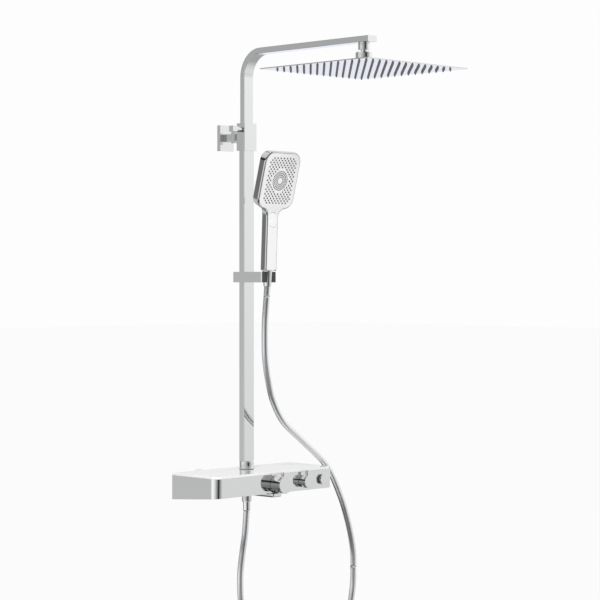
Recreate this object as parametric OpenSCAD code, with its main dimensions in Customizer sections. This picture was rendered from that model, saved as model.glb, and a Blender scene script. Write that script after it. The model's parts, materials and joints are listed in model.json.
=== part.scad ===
// Rainfall shower column: a thermostatic mixer with a shelf on top, a telescopic riser with a
// square rain head on a ball joint, and a hand shower on a sliding holder with its hose.
// Frame: +Z up, +Y into the wall, X along the shelf. The origin lies on the wall, midway
// between the two wall inlets. All lengths are millimetres.

/* [Wall connection] */
// Distance between the centres of the two wall inlets
inlet_spacing = 150; // [130:1:170]
// Outside diameter of the G1/2 thread that goes into the wall fitting
inlet_thread_d = 20.96; // [16:0.02:26]
// Length of the thread inside the wall
inlet_thread_l = 12; // [8:1:20]
// Gap between the wall and the back of the mixer
mixer_gap = 20; // [18:1:40]
// Diameter of the cover rose at each inlet
rose_d = 62; // [50:1:70]

/* [Mixer and shelf] */
// Width of the mixer
mixer_w = 346; // [320:1:420]
// Depth of the mixer, back to front
mixer_depth = 138; // [130:1:170]
// Height of the casing at its back
casing_back_h = 50.7; // [48:0.1:60]
// Height of the casing at its front
casing_front_h = 40.3; // [39:0.1:50]
// Wall of the casing
casing_wall = 2.4; // [1.6:0.1:3]
// Radius of the two upright front corners
corner_r = 17; // [8:0.5:30]
// Thickness of the shelf slab
shelf_t = 5.5; // [4:0.1:8]
// How far the middle of the mixer lies to the right of the riser
mixer_shift = 6; // [-12:1:16]

/* [Controls] */
// Diameter of the temperature knob
temp_knob_d = 38; // [34:0.5:39]
// Length of the temperature knob
temp_knob_l = 29; // [24:0.5:34]
// Diameter of the diverter knob
flow_knob_d = 27.5; // [25:0.5:34]
// Length of the diverter knob
flow_knob_l = 18.7; // [17:0.1:26]
// Distance from the temperature knob to the diverter knob
flow_knob_pitch = 80.5; // [60:0.5:90]
// Distance from the diverter knob to the push button
button_pitch = 58; // [44:0.5:62]
// Diameter of the push button
button_d = 23.5; // [18:0.5:28]
// How far the push button stands out
button_l = 7; // [5:0.5:10]
// Height of the controls above the wall inlets
control_z = 5; // [2:0.5:7]

/* [Bath spout] */
// Width of the spout under the casing
spout_w = 52; // [44:1:70]
// How far the spout reaches in front of the casing
spout_reach = 17; // [12:0.5:24]
// Thickness of the spout at its front
spout_h = 7.5; // [7:0.1:12]
// Distance from the casing's front to the spout's back end
spout_run = 52; // [44:1:60]

/* [Riser] */
// Distance from the wall to the middle of the riser
riser_from_wall = 72; // [60:1:80]
// Width of the lower tube
lower_w = 30; // [29.5:0.1:34]
// Depth of the lower tube
lower_d = 15; // [14.8:0.1:18]
// Wall of the lower tube
lower_wall = 1; // [0.8:0.05:1.1]
// Width of the upper tube
upper_w = 27; // [24:0.1:27.4]
// Depth of the upper tube
upper_d = 12.5; // [11:0.1:12.6]
// Wall of the upper tube
upper_wall = 1.1; // [0.8:0.1:1.4]
// Radius of the tubes' long edges
tube_edge_r = 1; // [0.6:0.1:1.6]
// Height of the lower end of the lower tube above the shelf
riser_nut_l = 18; // [14:0.5:24]
// Diameter of the nut that holds the riser
riser_nut_d = 32; // [30:0.5:40]
// Height of the top of the lower tube above the shelf
lower_top = 719; // [700:1:760]
// Height of the underside of the overhead arm above the shelf
arm_under = 889.5; // [870:0.5:950]
// Radius of the outside of the bend
bend_r = 60; // [45:1:80]
// Distance from the riser's middle to the end of the arm
arm_reach = 371; // [367:1:420]
// Length of the upper tube's straight stretch below the bend
upper_straight = 521; // [500:1:560]

/* [Locking sleeve and bracket] */
// Width of the sleeve
sleeve_w = 37; // [36:0.5:44]
// Depth of the sleeve
sleeve_d = 24.5; // [22:0.5:30]
// Height of the sleeve
sleeve_h = 59; // [50:1:80]
// Height of the sleeve's top above the shelf
sleeve_top = 743.4; // [735:0.2:760]
// Side of the square head of the locking knob
lock_head = 12.5; // [11:0.5:16]
// Length of the square head of the locking knob
lock_head_l = 13; // [10:0.5:18]
// Length of the round neck of the locking knob
lock_neck_l = 16; // [12:0.5:20]
// Width of the wall plate
wall_plate_w = 40; // [34:1:60]
// Height of the wall plate
wall_plate_h = 56; // [52:1:80]
// Thickness of the wall plate
wall_plate_t = 9.7; // [9:0.1:14]
// Width of the bar between the wall plate and the sleeve
bar_w = 20.4; // [14:0.2:22]
// Height of the bar
bar_h = 15.6; // [12:0.2:18]
// Side of the square collar on the bar
collar_side = 25; // [24:0.5:30]
// Thickness of the collar
collar_t = 11; // [8:0.5:14]
// Distance from the riser's middle back to the collar's rear face
collar_reach = 36; // [34:0.5:40]
// Distance between the two screw holes of the bracket
screw_spacing = 34; // [30:1:38]
// Diameter of the bracket's screw holes
screw_hole_d = 5.2; // [4:0.1:6]

/* [Rain head] */
// Side of the square rain plate
plate_side = 300; // [250:1:320]
// Thickness of the rain plate
plate_t = 2; // [1.6:0.1:4]
// Number of nozzles along each side
nozzle_count = 14; // [8:1:15]
// Distance from the plate's edge to the first nozzle
nozzle_margin = 26; // [20:1:40]
// Length of each nozzle
nozzle_l = 4.8; // [2:0.1:6]
// Diameter of each nozzle at the plate
nozzle_d = 5; // [3:0.1:7]
// Distance from the arm's end to the swivel's middle
swivel_inset = 23.8; // [20:0.2:40]
// Diameter of the swivel's upper nut
swivel_nut_d = 24; // [20:0.5:26]
// Length of the swivel's upper nut
swivel_nut_l = 15.3; // [12:0.1:20]
// Diameter of the ball
ball_d = 22; // [20:0.5:23]
// Diameter of the stem above the ball
stem_d = 13; // [10:0.5:13.5]
// Wall of each ball seat
seat_wall = 1.2; // [0.8:0.1:1.2]
// Diameter of the ball collar
ball_collar_d = 35; // [34:0.5:44]
// Diameter of the boss on the rain plate
boss_d = 44; // [36:1:60]
// Height of the boss
boss_h = 12.3; // [10:0.1:16]

/* [Hand shower and holder] */
// Length of the holder, back to front
holder_len = 91; // [88:0.5:96]
// Width of the holder
holder_w = 40.7; // [38:0.1:48]
// Height of the holder
holder_h = 22.6; // [18:0.1:30]
// Height of the holder's middle above the shelf
holder_z = 413.1; // [390:0.1:440]
// Distance from the riser's middle to the middle of the fork
fork_reach = 64.5; // [62:0.5:66]
// Radius of the fork's tapered seat at its top
fork_top_r = 10.8; // [10:0.1:11.5]
// Radius of the fork's tapered seat at its bottom
fork_low_r = 8.9; // [8.6:0.1:9.4]
// Width of the white face on the shower's head
head_w = 97; // [90:1:104]
// Length of the white face on the shower's head
head_l = 118; // [110:1:124]
// Radius of the corners of that face
head_corner_r = 20; // [16:1:24]
// Forward lean of the head's face, in degrees
head_lean = 15.4; // [10:0.2:20]
// Width of the white face on the handle
handle_w = 26.6; // [25:0.1:30]
// Thickness of the white face
face_t = 3; // [2:0.1:4]
// Width of the rounded chrome rim around the white face
bezel = 3.5; // [2:0.1:5]
// Thickness of the whole shower, face to back
shower_t = 19.5; // [18.5:0.1:24]
// Radius of the hollow where the handle widens into the head
neck_r = 19; // [10:0.5:24]
// Height of the head's middle above the handle's foot
head_rise = 190.3; // [185:0.1:200]
// Height of the straight part of the handle
handle_straight = 116; // [110:1:118]
// Height of the spray button above the handle's foot
spray_button_rise = 108; // [90:1:110]
// Distance between the dots of one row of the face
dot_pitch = 9.2; // [8:0.1:12]
// Distance between two rows of dots
dot_row = 4.85; // [4.5:0.05:7]
// Diameter of a dot
dot_d = 3.3; // [2:0.1:3.6]
// Diameter of a dot of the ringed disc
disc_dot_d = 2.3; // [1.5:0.1:2.6]
// Radius of the ringed disc in the middle of the face
disc_r = 20; // [16:0.5:21]

/* [Hose] */
// Outside diameter of the hose
hose_d = 14; // [10:0.5:15]
// Diameter of the hose's outlet nut
hose_nut_d = 21.5; // [19:0.5:24]

/* [Fits] */
// Gap between pieces that slide on each other, on each side
slide_gap = 0.25; // [0.15:0.05:0.3]
// Gap between a turning shaft and its hole, on each side
turn_gap = 0.06; // [0.03:0.01:0.1]
// Gap between fixed pieces, on each side
seat_gap = 0.1; // [0:0.05:0.2]
// Gap between the shelf and the riser nut that passes through it
shelf_hole_gap = 0.3; // [0.2:0.1:1]

/* [Hidden] */
$fn = 48;
eps = 0.01;

// Mixer
riser_y = -riser_from_wall;
shelf_z = 31;
casing_top = shelf_z - shelf_t;
back_y = -mixer_gap;
front_y = back_y - mixer_depth;
left_x = mixer_shift - mixer_w / 2;
under_back = casing_top - casing_back_h;
under_front = casing_top - casing_front_h;
bar_y = riser_y - 2;
main_bar_r = 15.5;
cartridge_back = bar_y;
temp_x = mixer_shift;
flow_x = temp_x + flow_knob_pitch;
button_x = flow_x + button_pitch;
control_gap = 0.5;
stem_r = 5;
button_stem_r = 4;
button_travel = 3.5;
frame_t = 3;
inlet_boss_r = 14;
hex_af = 30;
rose_t = 9;
rose_sleeve = 3.5;
spout_bottom = under_front - spout_h;
spout_back_y = front_y + spout_run;
spout_neck_r = 9;
spout_neck_y = front_y + 34;
outlet_r = 9;
hose_nut_l = 17.5;
hose_nut_top = under_at(riser_y);
ferrule_r = 8.2;
ferrule_low = -57;

// Riser
lower_low = shelf_z + riser_nut_l;
lower_high = shelf_z + lower_top;
arm_low = shelf_z + arm_under;
bend_z = arm_low + upper_d - bend_r;
bend_y = riser_y + upper_d / 2 - bend_r;
upper_low = bend_z - upper_straight;
foot_h = 12;
arm_end_y = riser_y - arm_reach;
cap_t = 2;
sleeve_high = shelf_z + sleeve_top;
sleeve_low = sleeve_high - sleeve_h;
lock_z = sleeve_high - 13;
lock_y = riser_y - 2;
lock_screw_r = 3.5;
bush_h = 4;
bracket_z = sleeve_high - 28.8;
bracket_base_t = 5;
plate_skin = 2;
collar_back = riser_y + collar_reach;
neck_side = 17;

// Rain head
swivel_y = arm_end_y + swivel_inset;
ball_r = ball_d / 2;
ball_z = arm_low - 31;
seat_step = seat_gap + seat_wall;
cavity_r = ball_r + 2 * seat_step + seat_gap;
mouth_deg = 41.5;
collar_high = ball_z + 11.2;
collar_low = ball_z - 8.8;
boss_low = collar_low - boss_h;
plate_z = boss_low - plate_t;
nozzle_pitch = (plate_side - 2 * nozzle_margin) / (nozzle_count - 1);

// Holder and hand shower
holder_mid = shelf_z + holder_z;
holder_low = holder_mid - holder_h / 2;
holder_high = holder_mid + holder_h / 2;
fork_y = riser_y - fork_reach;
holder_back = riser_y + 21;
holder_front = holder_back - holder_len;
holder_edge_r = 4.6;
cone_low = holder_low - 7.8;
handle_low = holder_high + 2.3;
liner_wall = 1.2;
handle_face_y = fork_y - 12.5;
head_mid_z = handle_low + head_rise;
head_mid_y = handle_face_y - 26;
spray_button_z = handle_low + spray_button_rise;
spray_button_r = 10;
spray_button_half = 6;

// Route of the hose from the outlet to the hand shower, one point per bend or stretch
hose_route = [
    [0, -72, -57], [-5, -72, -109], [-13, -72, -152], [-19, -72, -200], [-16, -73, -260],
    [4, -75, -325], [55, -79, -392], [143, -84, -428], [236, -88, -392], [288, -92, -328],
    [305, -94, -265], [305, -98, -207], [298, -102, -160], [276, -108, -100],
    [244, -113, -36], [196, -119, 30], [113, -126, 90], [53, -131, 133], [19, -134, 180],
    [3, -136, 225], [-6, -137, 268], [-8, -137, 310], [-7, -137, 353], [-3, -137, 395],
    [0, -136.5, 425]
];
hose_split = 11;

// Underside of the casing at the depth y
function under_at(y) = under_front + (under_back - under_front) * (y - front_y) / mixer_depth;

// Points of a cubic curve from a to d with the control points b and c
function curve(a, b, c, d, steps = 10) =
    [for (i = [0:steps]) let (t = i / steps, s = 1 - t)
        s * s * s * a + 3 * s * s * t * b + 3 * s * t * t * c + t * t * t * d];

// Rounded rectangle, centred, of straight sides and true arcs
module soft_rect(w, d, r) {
    square([w - 2 * r, d], center = true);
    square([w, d - 2 * r], center = true);
    for (x = [-1, 1], y = [-1, 1])
        translate([x * (w / 2 - r), y * (d / 2 - r)]) circle(r);
}

// Upright rounded bar between two heights, centred on the riser
module upright(w, d, r, low, high) {
    translate([0, riser_y, low]) linear_extrude(high - low) soft_rect(w, d, r);
}

// Cylinder along Y from the depth y0 to the depth y1
module rod_y(x, z, r, y0, y1) {
    translate([x, max(y0, y1), z]) rotate([90, 0, 0]) cylinder(h = abs(y1 - y0), r = r);
}

// Cylinder along Z between two heights
module rod_z(x, y, r, z0, z1) {
    translate([x, y, z0]) cylinder(h = z1 - z0, r = r);
}

// Hexagonal prism along Y
module hex_y(x, z, af, y0, y1) {
    translate([x, max(y0, y1), z]) rotate([90, 0, 0]) rotate(30)
        cylinder(h = abs(y1 - y0), r = af / sqrt(3), $fn = 6);
}

// Plan of the casing, drawn in by an inset: round front corners, nearly square back ones
module casing_plan(inset) {
    r = corner_r - inset;
    w = mixer_w - 2 * inset;
    d = mixer_depth - 2 * inset;
    translate([mixer_shift, (front_y + back_y) / 2]) {
        translate([-w / 2, -d / 2 + r]) square([w, d - r]);
        translate([-w / 2 + r, -d / 2]) square([w - 2 * r, r + eps]);
        for (x = [-1, 1])
            translate([x * (w / 2 - r), -d / 2 + r]) circle(r);
    }
}

// Solid of the casing, drawn in by an inset, with its sloping underside; top is its upper end
module casing_form(inset, top) {
    intersection() {
        translate([0, 0, under_back - 1]) linear_extrude(top - under_back + 1) casing_plan(inset);
        translate([left_x - 1, 0, 0]) rotate([90, 0, 90]) linear_extrude(mixer_w + 2)
            polygon([
                [front_y - 1, under_at(front_y - 1) + inset],
                [back_y + 1, under_at(back_y + 1) + inset],
                [back_y + 1, top],
                [front_y - 1, top]
            ]);
    }
}

// Tube swept along the hose's route between two of its points
function route_at(i) = hose_route[max(0, min(len(hose_route) - 1, i))];
function slope_at(i) = (route_at(i + 1) - route_at(i - 1)) / 2;
function unit(v) = v / norm(v);
function hose_points(first, last, steps = 2) = [
    for (i = [first:last - 1], k = [0:steps - 1]) hermite(i, k / steps),
    hose_route[last]
];
function hermite(i, t) =
    (2 * t * t * t - 3 * t * t + 1) * route_at(i) + (t * t * t - 2 * t * t + t) * slope_at(i)
    + (3 * t * t - 2 * t * t * t) * route_at(i + 1) + (t * t * t - t * t) * slope_at(i + 1);

module hose_tube(first, last) {
    sides = 10;
    p = hose_points(first, last);
    n = len(p);
    along = [for (i = [0:n - 1])
        i == 0 && first == 0 ? [0, 0, -1]
        : i == n - 1 && last == len(hose_route) - 1 ? [0, 0, 1]
        : i == 0 ? unit(slope_at(first))
        : i == n - 1 ? unit(slope_at(last))
        : unit(p[i + 1] - p[i - 1])];
    rings = [for (i = [0:n - 1]) let (u = unit(cross(along[i], [0, 1, 0])), v = cross(along[i], u))
        for (k = [0:sides - 1])
            p[i] + hose_d / 2 * (cos(360 * k / sides) * u + sin(360 * k / sides) * v)];
    polyhedron(
        points = rings,
        faces = concat(
            [[for (k = [0:sides - 1]) k]],
            [for (i = [0:n - 2], k = [0:sides - 1])
                let (a = i * sides + k, b = i * sides + (k + 1) % sides)
                [a, a + sides, b + sides, b]],
            [[for (k = [sides - 1:-1:0]) (n - 1) * sides + k]]
        ),
        convexity = 6
    );
}

// ---- Mixer ----

module mixer_casing() {
    color("silver") difference() {
        casing_form(0, casing_top);
        casing_form(casing_wall, casing_top + 1);
        // open back, closed by the frame
        translate([left_x + casing_wall, back_y - casing_wall - 1, under_at(back_y) + casing_wall])
            cube([mixer_w - 2 * casing_wall, casing_wall + 2, casing_back_h + 1]);
        rod_y(temp_x, control_z, 15 + seat_gap, front_y - 1, front_y + casing_wall + 1);
        rod_y(flow_x, control_z, 11 + seat_gap, front_y - 1, front_y + casing_wall + 1);
        rod_y(button_x, control_z, 9 + seat_gap, front_y - 1, front_y + casing_wall + 1);
        rod_z(0, riser_y, outlet_r + seat_gap, under_back - 1, casing_top);
        rod_z(temp_x, spout_neck_y, spout_neck_r + seat_gap, under_back - 1, control_z - 16);
    }
}

module shelf_slab() {
    lip = 1.2;
    color("white") difference() {
        hull() {
            translate([0, 0, casing_top]) linear_extrude(shelf_t - lip) casing_plan(0, $fn = 32);
            translate([0, 0, casing_top]) linear_extrude(shelf_t) casing_plan(lip, $fn = 32);
        }
        rod_z(0, riser_y, riser_nut_d / 2 + shelf_hole_gap, casing_top - 1, shelf_z + 1);
    }
}

module back_frame() {
    gap = seat_gap + casing_wall;
    color("dimgray") difference() {
        intersection() {
            casing_form(gap, casing_top - seat_gap);
            translate([left_x, back_y - casing_wall - frame_t, under_back])
                cube([mixer_w, frame_t, casing_back_h + 1]);
        }
        for (side = [-1, 1])
            rod_y(side * inlet_spacing / 2, 0, inlet_boss_r + seat_gap, back_y, back_y - 12);
    }
}

module valve_body() {
    bore_r = 9.5;
    inlet_bore_r = 8;
    bar_left = -inlet_spacing / 2 - 18;
    bar_right = max(button_x + 12, inlet_spacing / 2 + 18);
    inlet_end = back_y - 2;
    color("goldenrod") difference() {
        union() {
            translate([bar_left, bar_y, 0]) rotate([0, 90, 0])
                cylinder(h = bar_right - bar_left, r = main_bar_r);
            for (side = [-1, 1])
                rod_y(side * inlet_spacing / 2, 0, inlet_boss_r, bar_y, inlet_end);
            rod_y(temp_x, control_z, 18, bar_y, front_y + 20);
            rod_y(flow_x, control_z, 14, bar_y, front_y + 20);
            rod_y(button_x, control_z, 11.5, bar_y, front_y + 20);
            rod_z(0, riser_y, 11, 0, shelf_z + 7);
            rod_z(0, riser_y, outlet_r, hose_nut_top - 8, 0);
            rod_z(temp_x, spout_neck_y, 12, under_at(spout_neck_y) + casing_wall + 1, 0);
        }
        translate([bar_left + 6, bar_y, 0]) rotate([0, 90, 0])
            cylinder(h = bar_right - bar_left - 12, r = bore_r);
        for (side = [-1, 1])
            rod_y(side * inlet_spacing / 2, 0, inlet_bore_r, bar_y, inlet_end + 1);
        rod_y(temp_x, control_z, 14 + seat_gap, cartridge_back, front_y + 19);
        rod_y(flow_x, control_z, 10 + seat_gap, cartridge_back, front_y + 19);
        rod_y(button_x, control_z, 8 + seat_gap, cartridge_back, front_y + 19);
        rod_z(0, riser_y, 7.5, 0, shelf_z + 8);
        rod_z(0, riser_y, 5.5, hose_nut_top - 9, 0);
        rod_z(temp_x, spout_neck_y, spout_neck_r + seat_gap, under_back, -8);
    }
}

// Valve cartridge: a barrel in the body, a collar in the casing's hole and a stem for the knob
module cartridge(x, barrel_r, collar_r, stem_end, r) {
    color("gray") {
        rod_y(x, control_z, barrel_r, cartridge_back - 1, front_y + 12);
        rod_y(x, control_z, collar_r, front_y + 12, front_y);
        rod_y(x, control_z, r, front_y + eps, stem_end);
    }
}

module temperature_cartridge() {
    cartridge(temp_x, 14, 15, front_y - temp_knob_l + 6, stem_r);
}

module diverter_cartridge() {
    cartridge(flow_x, 10, 11, front_y - flow_knob_l + 5, stem_r);
}

module button_valve() {
    color("gray") difference() {
        union() {
            rod_y(button_x, control_z, 8, cartridge_back - 1, front_y + 12);
            rod_y(button_x, control_z, 9, front_y + 12, front_y);
        }
        rod_y(button_x, control_z, button_stem_r + slide_gap, front_y - 1, front_y + 22);
        rod_y(button_x, control_z, button_stem_r + 2.2, front_y - 1, front_y + 9);
    }
}

// ---- Wall connection ----

module wall_union(x) {
    color("silver") difference() {
        union() {
            rod_y(x, 0, inlet_thread_d / 2, inlet_thread_l, 0);
            rod_y(x, 0, 9, 0, back_y + 4);
            rod_y(x, 0, 11.6, back_y + 4, back_y + 1);
        }
        rod_y(x, 0, 6.5, inlet_thread_l + 1, back_y);
    }
}

module rose(x) {
    lip_r = rose_d / 2;
    color("silver") translate([x, 0, 0]) rotate([90, 0, 0]) rotate_extrude()
        difference() {
            polygon(concat([[9 + seat_gap, 0], [lip_r, 0]],
                curve([lip_r, 1.5], [lip_r - 2, 6], [19, rose_t], [15, rose_t]),
                [[9 + seat_gap, rose_t]]));
            polygon(concat([[9 + seat_gap + rose_sleeve, -1], [lip_r - 2.5, -1]],
                curve([lip_r - 2.5, 1], [lip_r - 5, 4.5], [18, rose_t - 2], [15, rose_t - 2]),
                [[9 + seat_gap + rose_sleeve, rose_t - 2]]));
        }
}

module union_nut(x) {
    color("silver") difference() {
        hex_y(x, 0, hex_af + 4, back_y + 9.5, back_y - 1.9);
        rod_y(x, 0, 9 + seat_gap, back_y + 10, back_y - 10);
        rod_y(x, 0, inlet_boss_r + seat_gap, back_y + 4 + seat_gap, back_y - 10);
    }
}

// ---- Bath spout ----

module bath_spout() {
    r = 10;
    len_y = spout_back_y - (front_y - spout_reach);
    color("silver") difference() {
        union() {
            difference() {
                translate([temp_x, front_y - spout_reach + len_y / 2, spout_bottom])
                    linear_extrude(casing_front_h) union() {
                        translate([-spout_w / 2, -len_y / 2 + r]) square([spout_w, len_y - r]);
                        translate([-spout_w / 2 + r, -len_y / 2]) square([spout_w - 2 * r, r + eps]);
                        for (x = [-1, 1])
                            translate([x * (spout_w / 2 - r), -len_y / 2 + r]) circle(r);
                    }
                casing_form(0, casing_top);
                // top of the lip in front of the casing
                translate([left_x, front_y - spout_reach - 1, under_front - seat_gap])
                    cube([mixer_w, spout_reach + 1 + eps, casing_back_h]);
                translate([left_x, front_y, control_z]) cube([mixer_w, mixer_depth, casing_back_h]);
            }
            rod_z(temp_x, spout_neck_y, spout_neck_r, under_front - 6, -9);
        }
        rod_z(temp_x, spout_neck_y, spout_neck_r - 2, spout_bottom + 2, 0);
        // water way and the long outlet in the underside of the lip
        translate([temp_x - spout_w / 2 + 7, front_y - 8, spout_bottom + 2])
            cube([spout_w - 14, spout_neck_y - front_y + 8, 2.4]);
        translate([temp_x - spout_w / 2 + 7, front_y - spout_reach + 5, spout_bottom - 1])
            cube([spout_w - 14, 6, 5.4]);
    }
}

module spout_aerator() {
    slots = 12;
    w = spout_w - 14 - 2 * seat_gap;
    pitch = w / slots;
    color("dimgray") difference() {
        translate([temp_x - w / 2, front_y - spout_reach + 5 + seat_gap, spout_bottom + 0.4])
            cube([w, 6 - 2 * seat_gap, 2.4]);
        for (i = [0:slots - 1])
            translate([temp_x - w / 2 + pitch * (i + 0.2), front_y - spout_reach + 6.2, spout_bottom])
                cube([pitch * 0.6, 3.6, 4]);
    }
}

// ---- Riser ----

module riser_nut() {
    r = riser_nut_d / 2;
    color("silver") translate([0, riser_y, shelf_z]) rotate_extrude() difference() {
        polygon([
            [11 + seat_gap, seat_gap - shelf_t], [r, seat_gap - shelf_t], [r, riser_nut_l - 1.2],
            [r - 1, riser_nut_l - 0.2], [11 + seat_gap, riser_nut_l - 0.2]
        ]);
        translate([r, riser_nut_l - 5]) circle(0.5);
    }
}

module lower_riser() {
    color("silver") difference() {
        union() {
            upright(lower_w, lower_d, tube_edge_r, lower_low, lower_high);
            // tail inside the nut
            rod_z(0, riser_y, 11, shelf_z + 7.3, lower_low);
        }
        upright(lower_w - 2 * lower_wall, lower_d - 2 * lower_wall, tube_edge_r / 2,
            lower_low + 1.5, lower_high + 1);
        rod_z(0, riser_y, 6.2, shelf_z, lower_low + 2);
    }
}

module locking_sleeve() {
    neck_front = riser_y + sleeve_d / 2 - 1;
    color("silver") difference() {
        union() {
            upright(sleeve_w, sleeve_d, 1.2, sleeve_low, sleeve_high);
            translate([-neck_side / 2, neck_front, bracket_z - bar_h / 2 + 0.8])
                cube([neck_side, collar_back - collar_t - neck_front, bar_h - 1.6]);
        }
        upright(lower_w + 2 * seat_gap, lower_d + 2 * seat_gap, tube_edge_r,
            sleeve_low - 1, lower_high + bush_h + 2 * seat_gap);
        upright(upper_w + 2 * slide_gap, upper_d + 2 * slide_gap, tube_edge_r,
            sleeve_low, sleeve_high + 1);
        translate([0, lock_y, lock_z]) rotate([0, -90, 0])
            cylinder(h = sleeve_w, r = lock_screw_r + turn_gap);
    }
}

module guide_bush() {
    color("white") difference() {
        upright(lower_w - 0.4, lower_d - 0.4, tube_edge_r,
            lower_high + seat_gap, lower_high + seat_gap + bush_h);
        upright(upper_w + 2 * slide_gap, upper_d + 2 * slide_gap, tube_edge_r,
            lower_high, lower_high + bush_h + 1);
    }
}

module bar_block(w, h, y0, y1) {
    translate([-w / 2, min(y0, y1), bracket_z - h / 2]) cube([w, abs(y1 - y0), h]);
}

module bracket_bar() {
    color("silver") difference() {
        union() {
            bar_block(bar_w, bar_h, -wall_plate_t + plate_skin, collar_back + seat_gap);
            bar_block(bar_w + 6, bar_h + 6, -bracket_base_t - seat_gap, -wall_plate_t + plate_skin);
        }
        rod_y(0, bracket_z, 3, 1, -16);
    }
}

module bar_collar() {
    color("silver") difference() {
        bar_block(collar_side, collar_side, collar_back, collar_back - collar_t);
        translate([0, collar_back - collar_t / 2, bracket_z - collar_side])
            cylinder(h = collar_side - bar_h / 2, r = 2);
    }
}

module wall_plate() {
    edge = 1.5;
    color("silver") difference() {
        translate([0, 0, bracket_z]) rotate([90, 0, 0]) linear_extrude(wall_plate_t)
            soft_rect(wall_plate_w, wall_plate_h, edge);
        translate([0, 1, bracket_z]) rotate([90, 0, 0]) linear_extrude(wall_plate_t - plate_skin + 1)
            soft_rect(wall_plate_w - 2 * plate_skin, wall_plate_h - 2 * plate_skin, edge / 2);
        bar_block(bar_w + 2 * seat_gap, bar_h + 2 * seat_gap, 0, -wall_plate_t - 1);
    }
}

module bracket_base() {
    gap = plate_skin + seat_gap;
    color("dimgray") difference() {
        translate([0, 0, bracket_z]) rotate([90, 0, 0]) linear_extrude(bracket_base_t)
            soft_rect(wall_plate_w - 2 * gap, wall_plate_h - 2 * gap, 0.6);
        for (side = [-1, 1])
            rod_y(0, bracket_z + side * screw_spacing / 2, screw_hole_d / 2, 1, -bracket_base_t - 1);
    }
}

// ---- Upper riser and swivel ----

// Square tube of the upper riser: upright, bend and arm, drawn in by an inset
module upper_form(inset, low, end_y) {
    w = upper_w - 2 * inset;
    d = upper_d - 2 * inset;
    r = max(0.3, tube_edge_r - inset);
    upright(w, d, r, low, bend_z);
    translate([0, bend_y, bend_z]) rotate([90, 0, 90]) rotate_extrude(angle = 90, $fn = 96)
        translate([bend_r - upper_d / 2, 0]) soft_rect(d, w, r);
    translate([0, bend_y, bend_z + bend_r - upper_d / 2]) rotate([90, 0, 0])
        linear_extrude(bend_y - end_y) soft_rect(w, d, r);
}

module upper_riser() {
    color("silver") difference() {
        upper_form(0, upper_low + foot_h, arm_end_y + cap_t);
        upper_form(upper_wall, upper_low, arm_end_y);
        rod_z(0, swivel_y, stem_d / 2 + seat_gap, arm_low - 1, arm_low + upper_d / 2);
    }
}

module riser_foot() {
    w = lower_w - 2 * lower_wall - 2 * slide_gap;
    d = lower_d - 2 * lower_wall - 2 * turn_gap;
    color("dimgray") difference() {
        union() {
            upright(w, d, tube_edge_r / 2, upper_low, upper_low + foot_h);
            upright(upper_w - 2 * upper_wall - 2 * seat_gap, upper_d - 2 * upper_wall - 2 * seat_gap,
                0.4, upper_low + foot_h, upper_low + foot_h + 10);
        }
        rod_z(0, riser_y, 4, upper_low - 1, upper_low + foot_h + 11);
        for (z = [3, 8])
            difference() {
                upright(w + 1, d + 1, 0.3, upper_low + z, upper_low + z + 1.6);
                upright(w - 1.2, d - 1.2, 0.3, upper_low + z - 1, upper_low + z + 3);
            }
    }
}

module arm_end_cap() {
    w = upper_w - 2 * upper_wall - 2 * seat_gap;
    d = upper_d - 2 * upper_wall - 2 * seat_gap;
    color("silver") translate([0, arm_end_y + cap_t, arm_low + upper_d / 2]) {
        rotate([90, 0, 0]) linear_extrude(cap_t) soft_rect(upper_w, upper_d, tube_edge_r);
        rotate([-90, 0, 0]) linear_extrude(6) soft_rect(w, d, 0.4);
    }
}

module swivel_nut() {
    r = swivel_nut_d / 2;
    color("silver") translate([0, swivel_y, arm_low - swivel_nut_l]) rotate_extrude() difference() {
        polygon([
            [stem_d / 2 + seat_gap, 1.2], [stem_d / 2 + 1, 0], [r - 1.2, 0], [r, 1.2],
            [r, swivel_nut_l - 0.6], [r - 0.6, swivel_nut_l], [stem_d / 2 + seat_gap, swivel_nut_l]
        ]);
        translate([r, swivel_nut_l - 4]) circle(0.6);
    }
}

module swivel_ball() {
    color("silver") difference() {
        union() {
            translate([0, swivel_y, ball_z]) sphere(ball_r);
            rod_z(0, swivel_y, stem_d / 2, ball_z, arm_low + upper_wall + 2.4);
        }
        rod_z(0, swivel_y, 3.5, ball_z - ball_r - 1, arm_low + upper_d);
    }
}

// Ring-shaped ball seat between two radii, open above for the stem and below for the water
module ball_seat(inner, outer, low_deg) {
    far = 2 * outer;
    translate([0, swivel_y, ball_z]) rotate_extrude() intersection() {
        difference() {
            circle(outer);
            circle(inner);
        }
        polygon([
            [0, 0], [far * sin(mouth_deg), far * cos(mouth_deg)], [far, 0],
            [far * sin(low_deg), -far * cos(low_deg)]
        ]);
    }
}

module inner_ball_seat() {
    inner = ball_r + seat_gap;
    color("white") ball_seat(inner, inner + seat_wall, 50);
}

module outer_ball_seat() {
    inner = ball_r + seat_gap + seat_step;
    color("gray") ball_seat(inner, inner + seat_wall, 50);
}

// ---- Rain head ----

module ball_collar() {
    r = ball_collar_d / 2;
    mouth_r = cavity_r * sin(mouth_deg) + 0.3;
    color("silver") translate([0, swivel_y, 0]) rotate_extrude() difference() {
        polygon([
            [0, collar_low], [r, collar_low], [r, collar_high - 1.6], [r - 1.6, collar_high],
            [0, collar_high]
        ]);
        translate([0, ball_z]) intersection() {
            circle(cavity_r);
            translate([0, -cavity_r]) square([cavity_r, 2 * cavity_r]);
        }
        translate([0, ball_z]) square([mouth_r, collar_high]);
        translate([r, collar_low + 3]) circle(0.6);
    }
}

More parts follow.
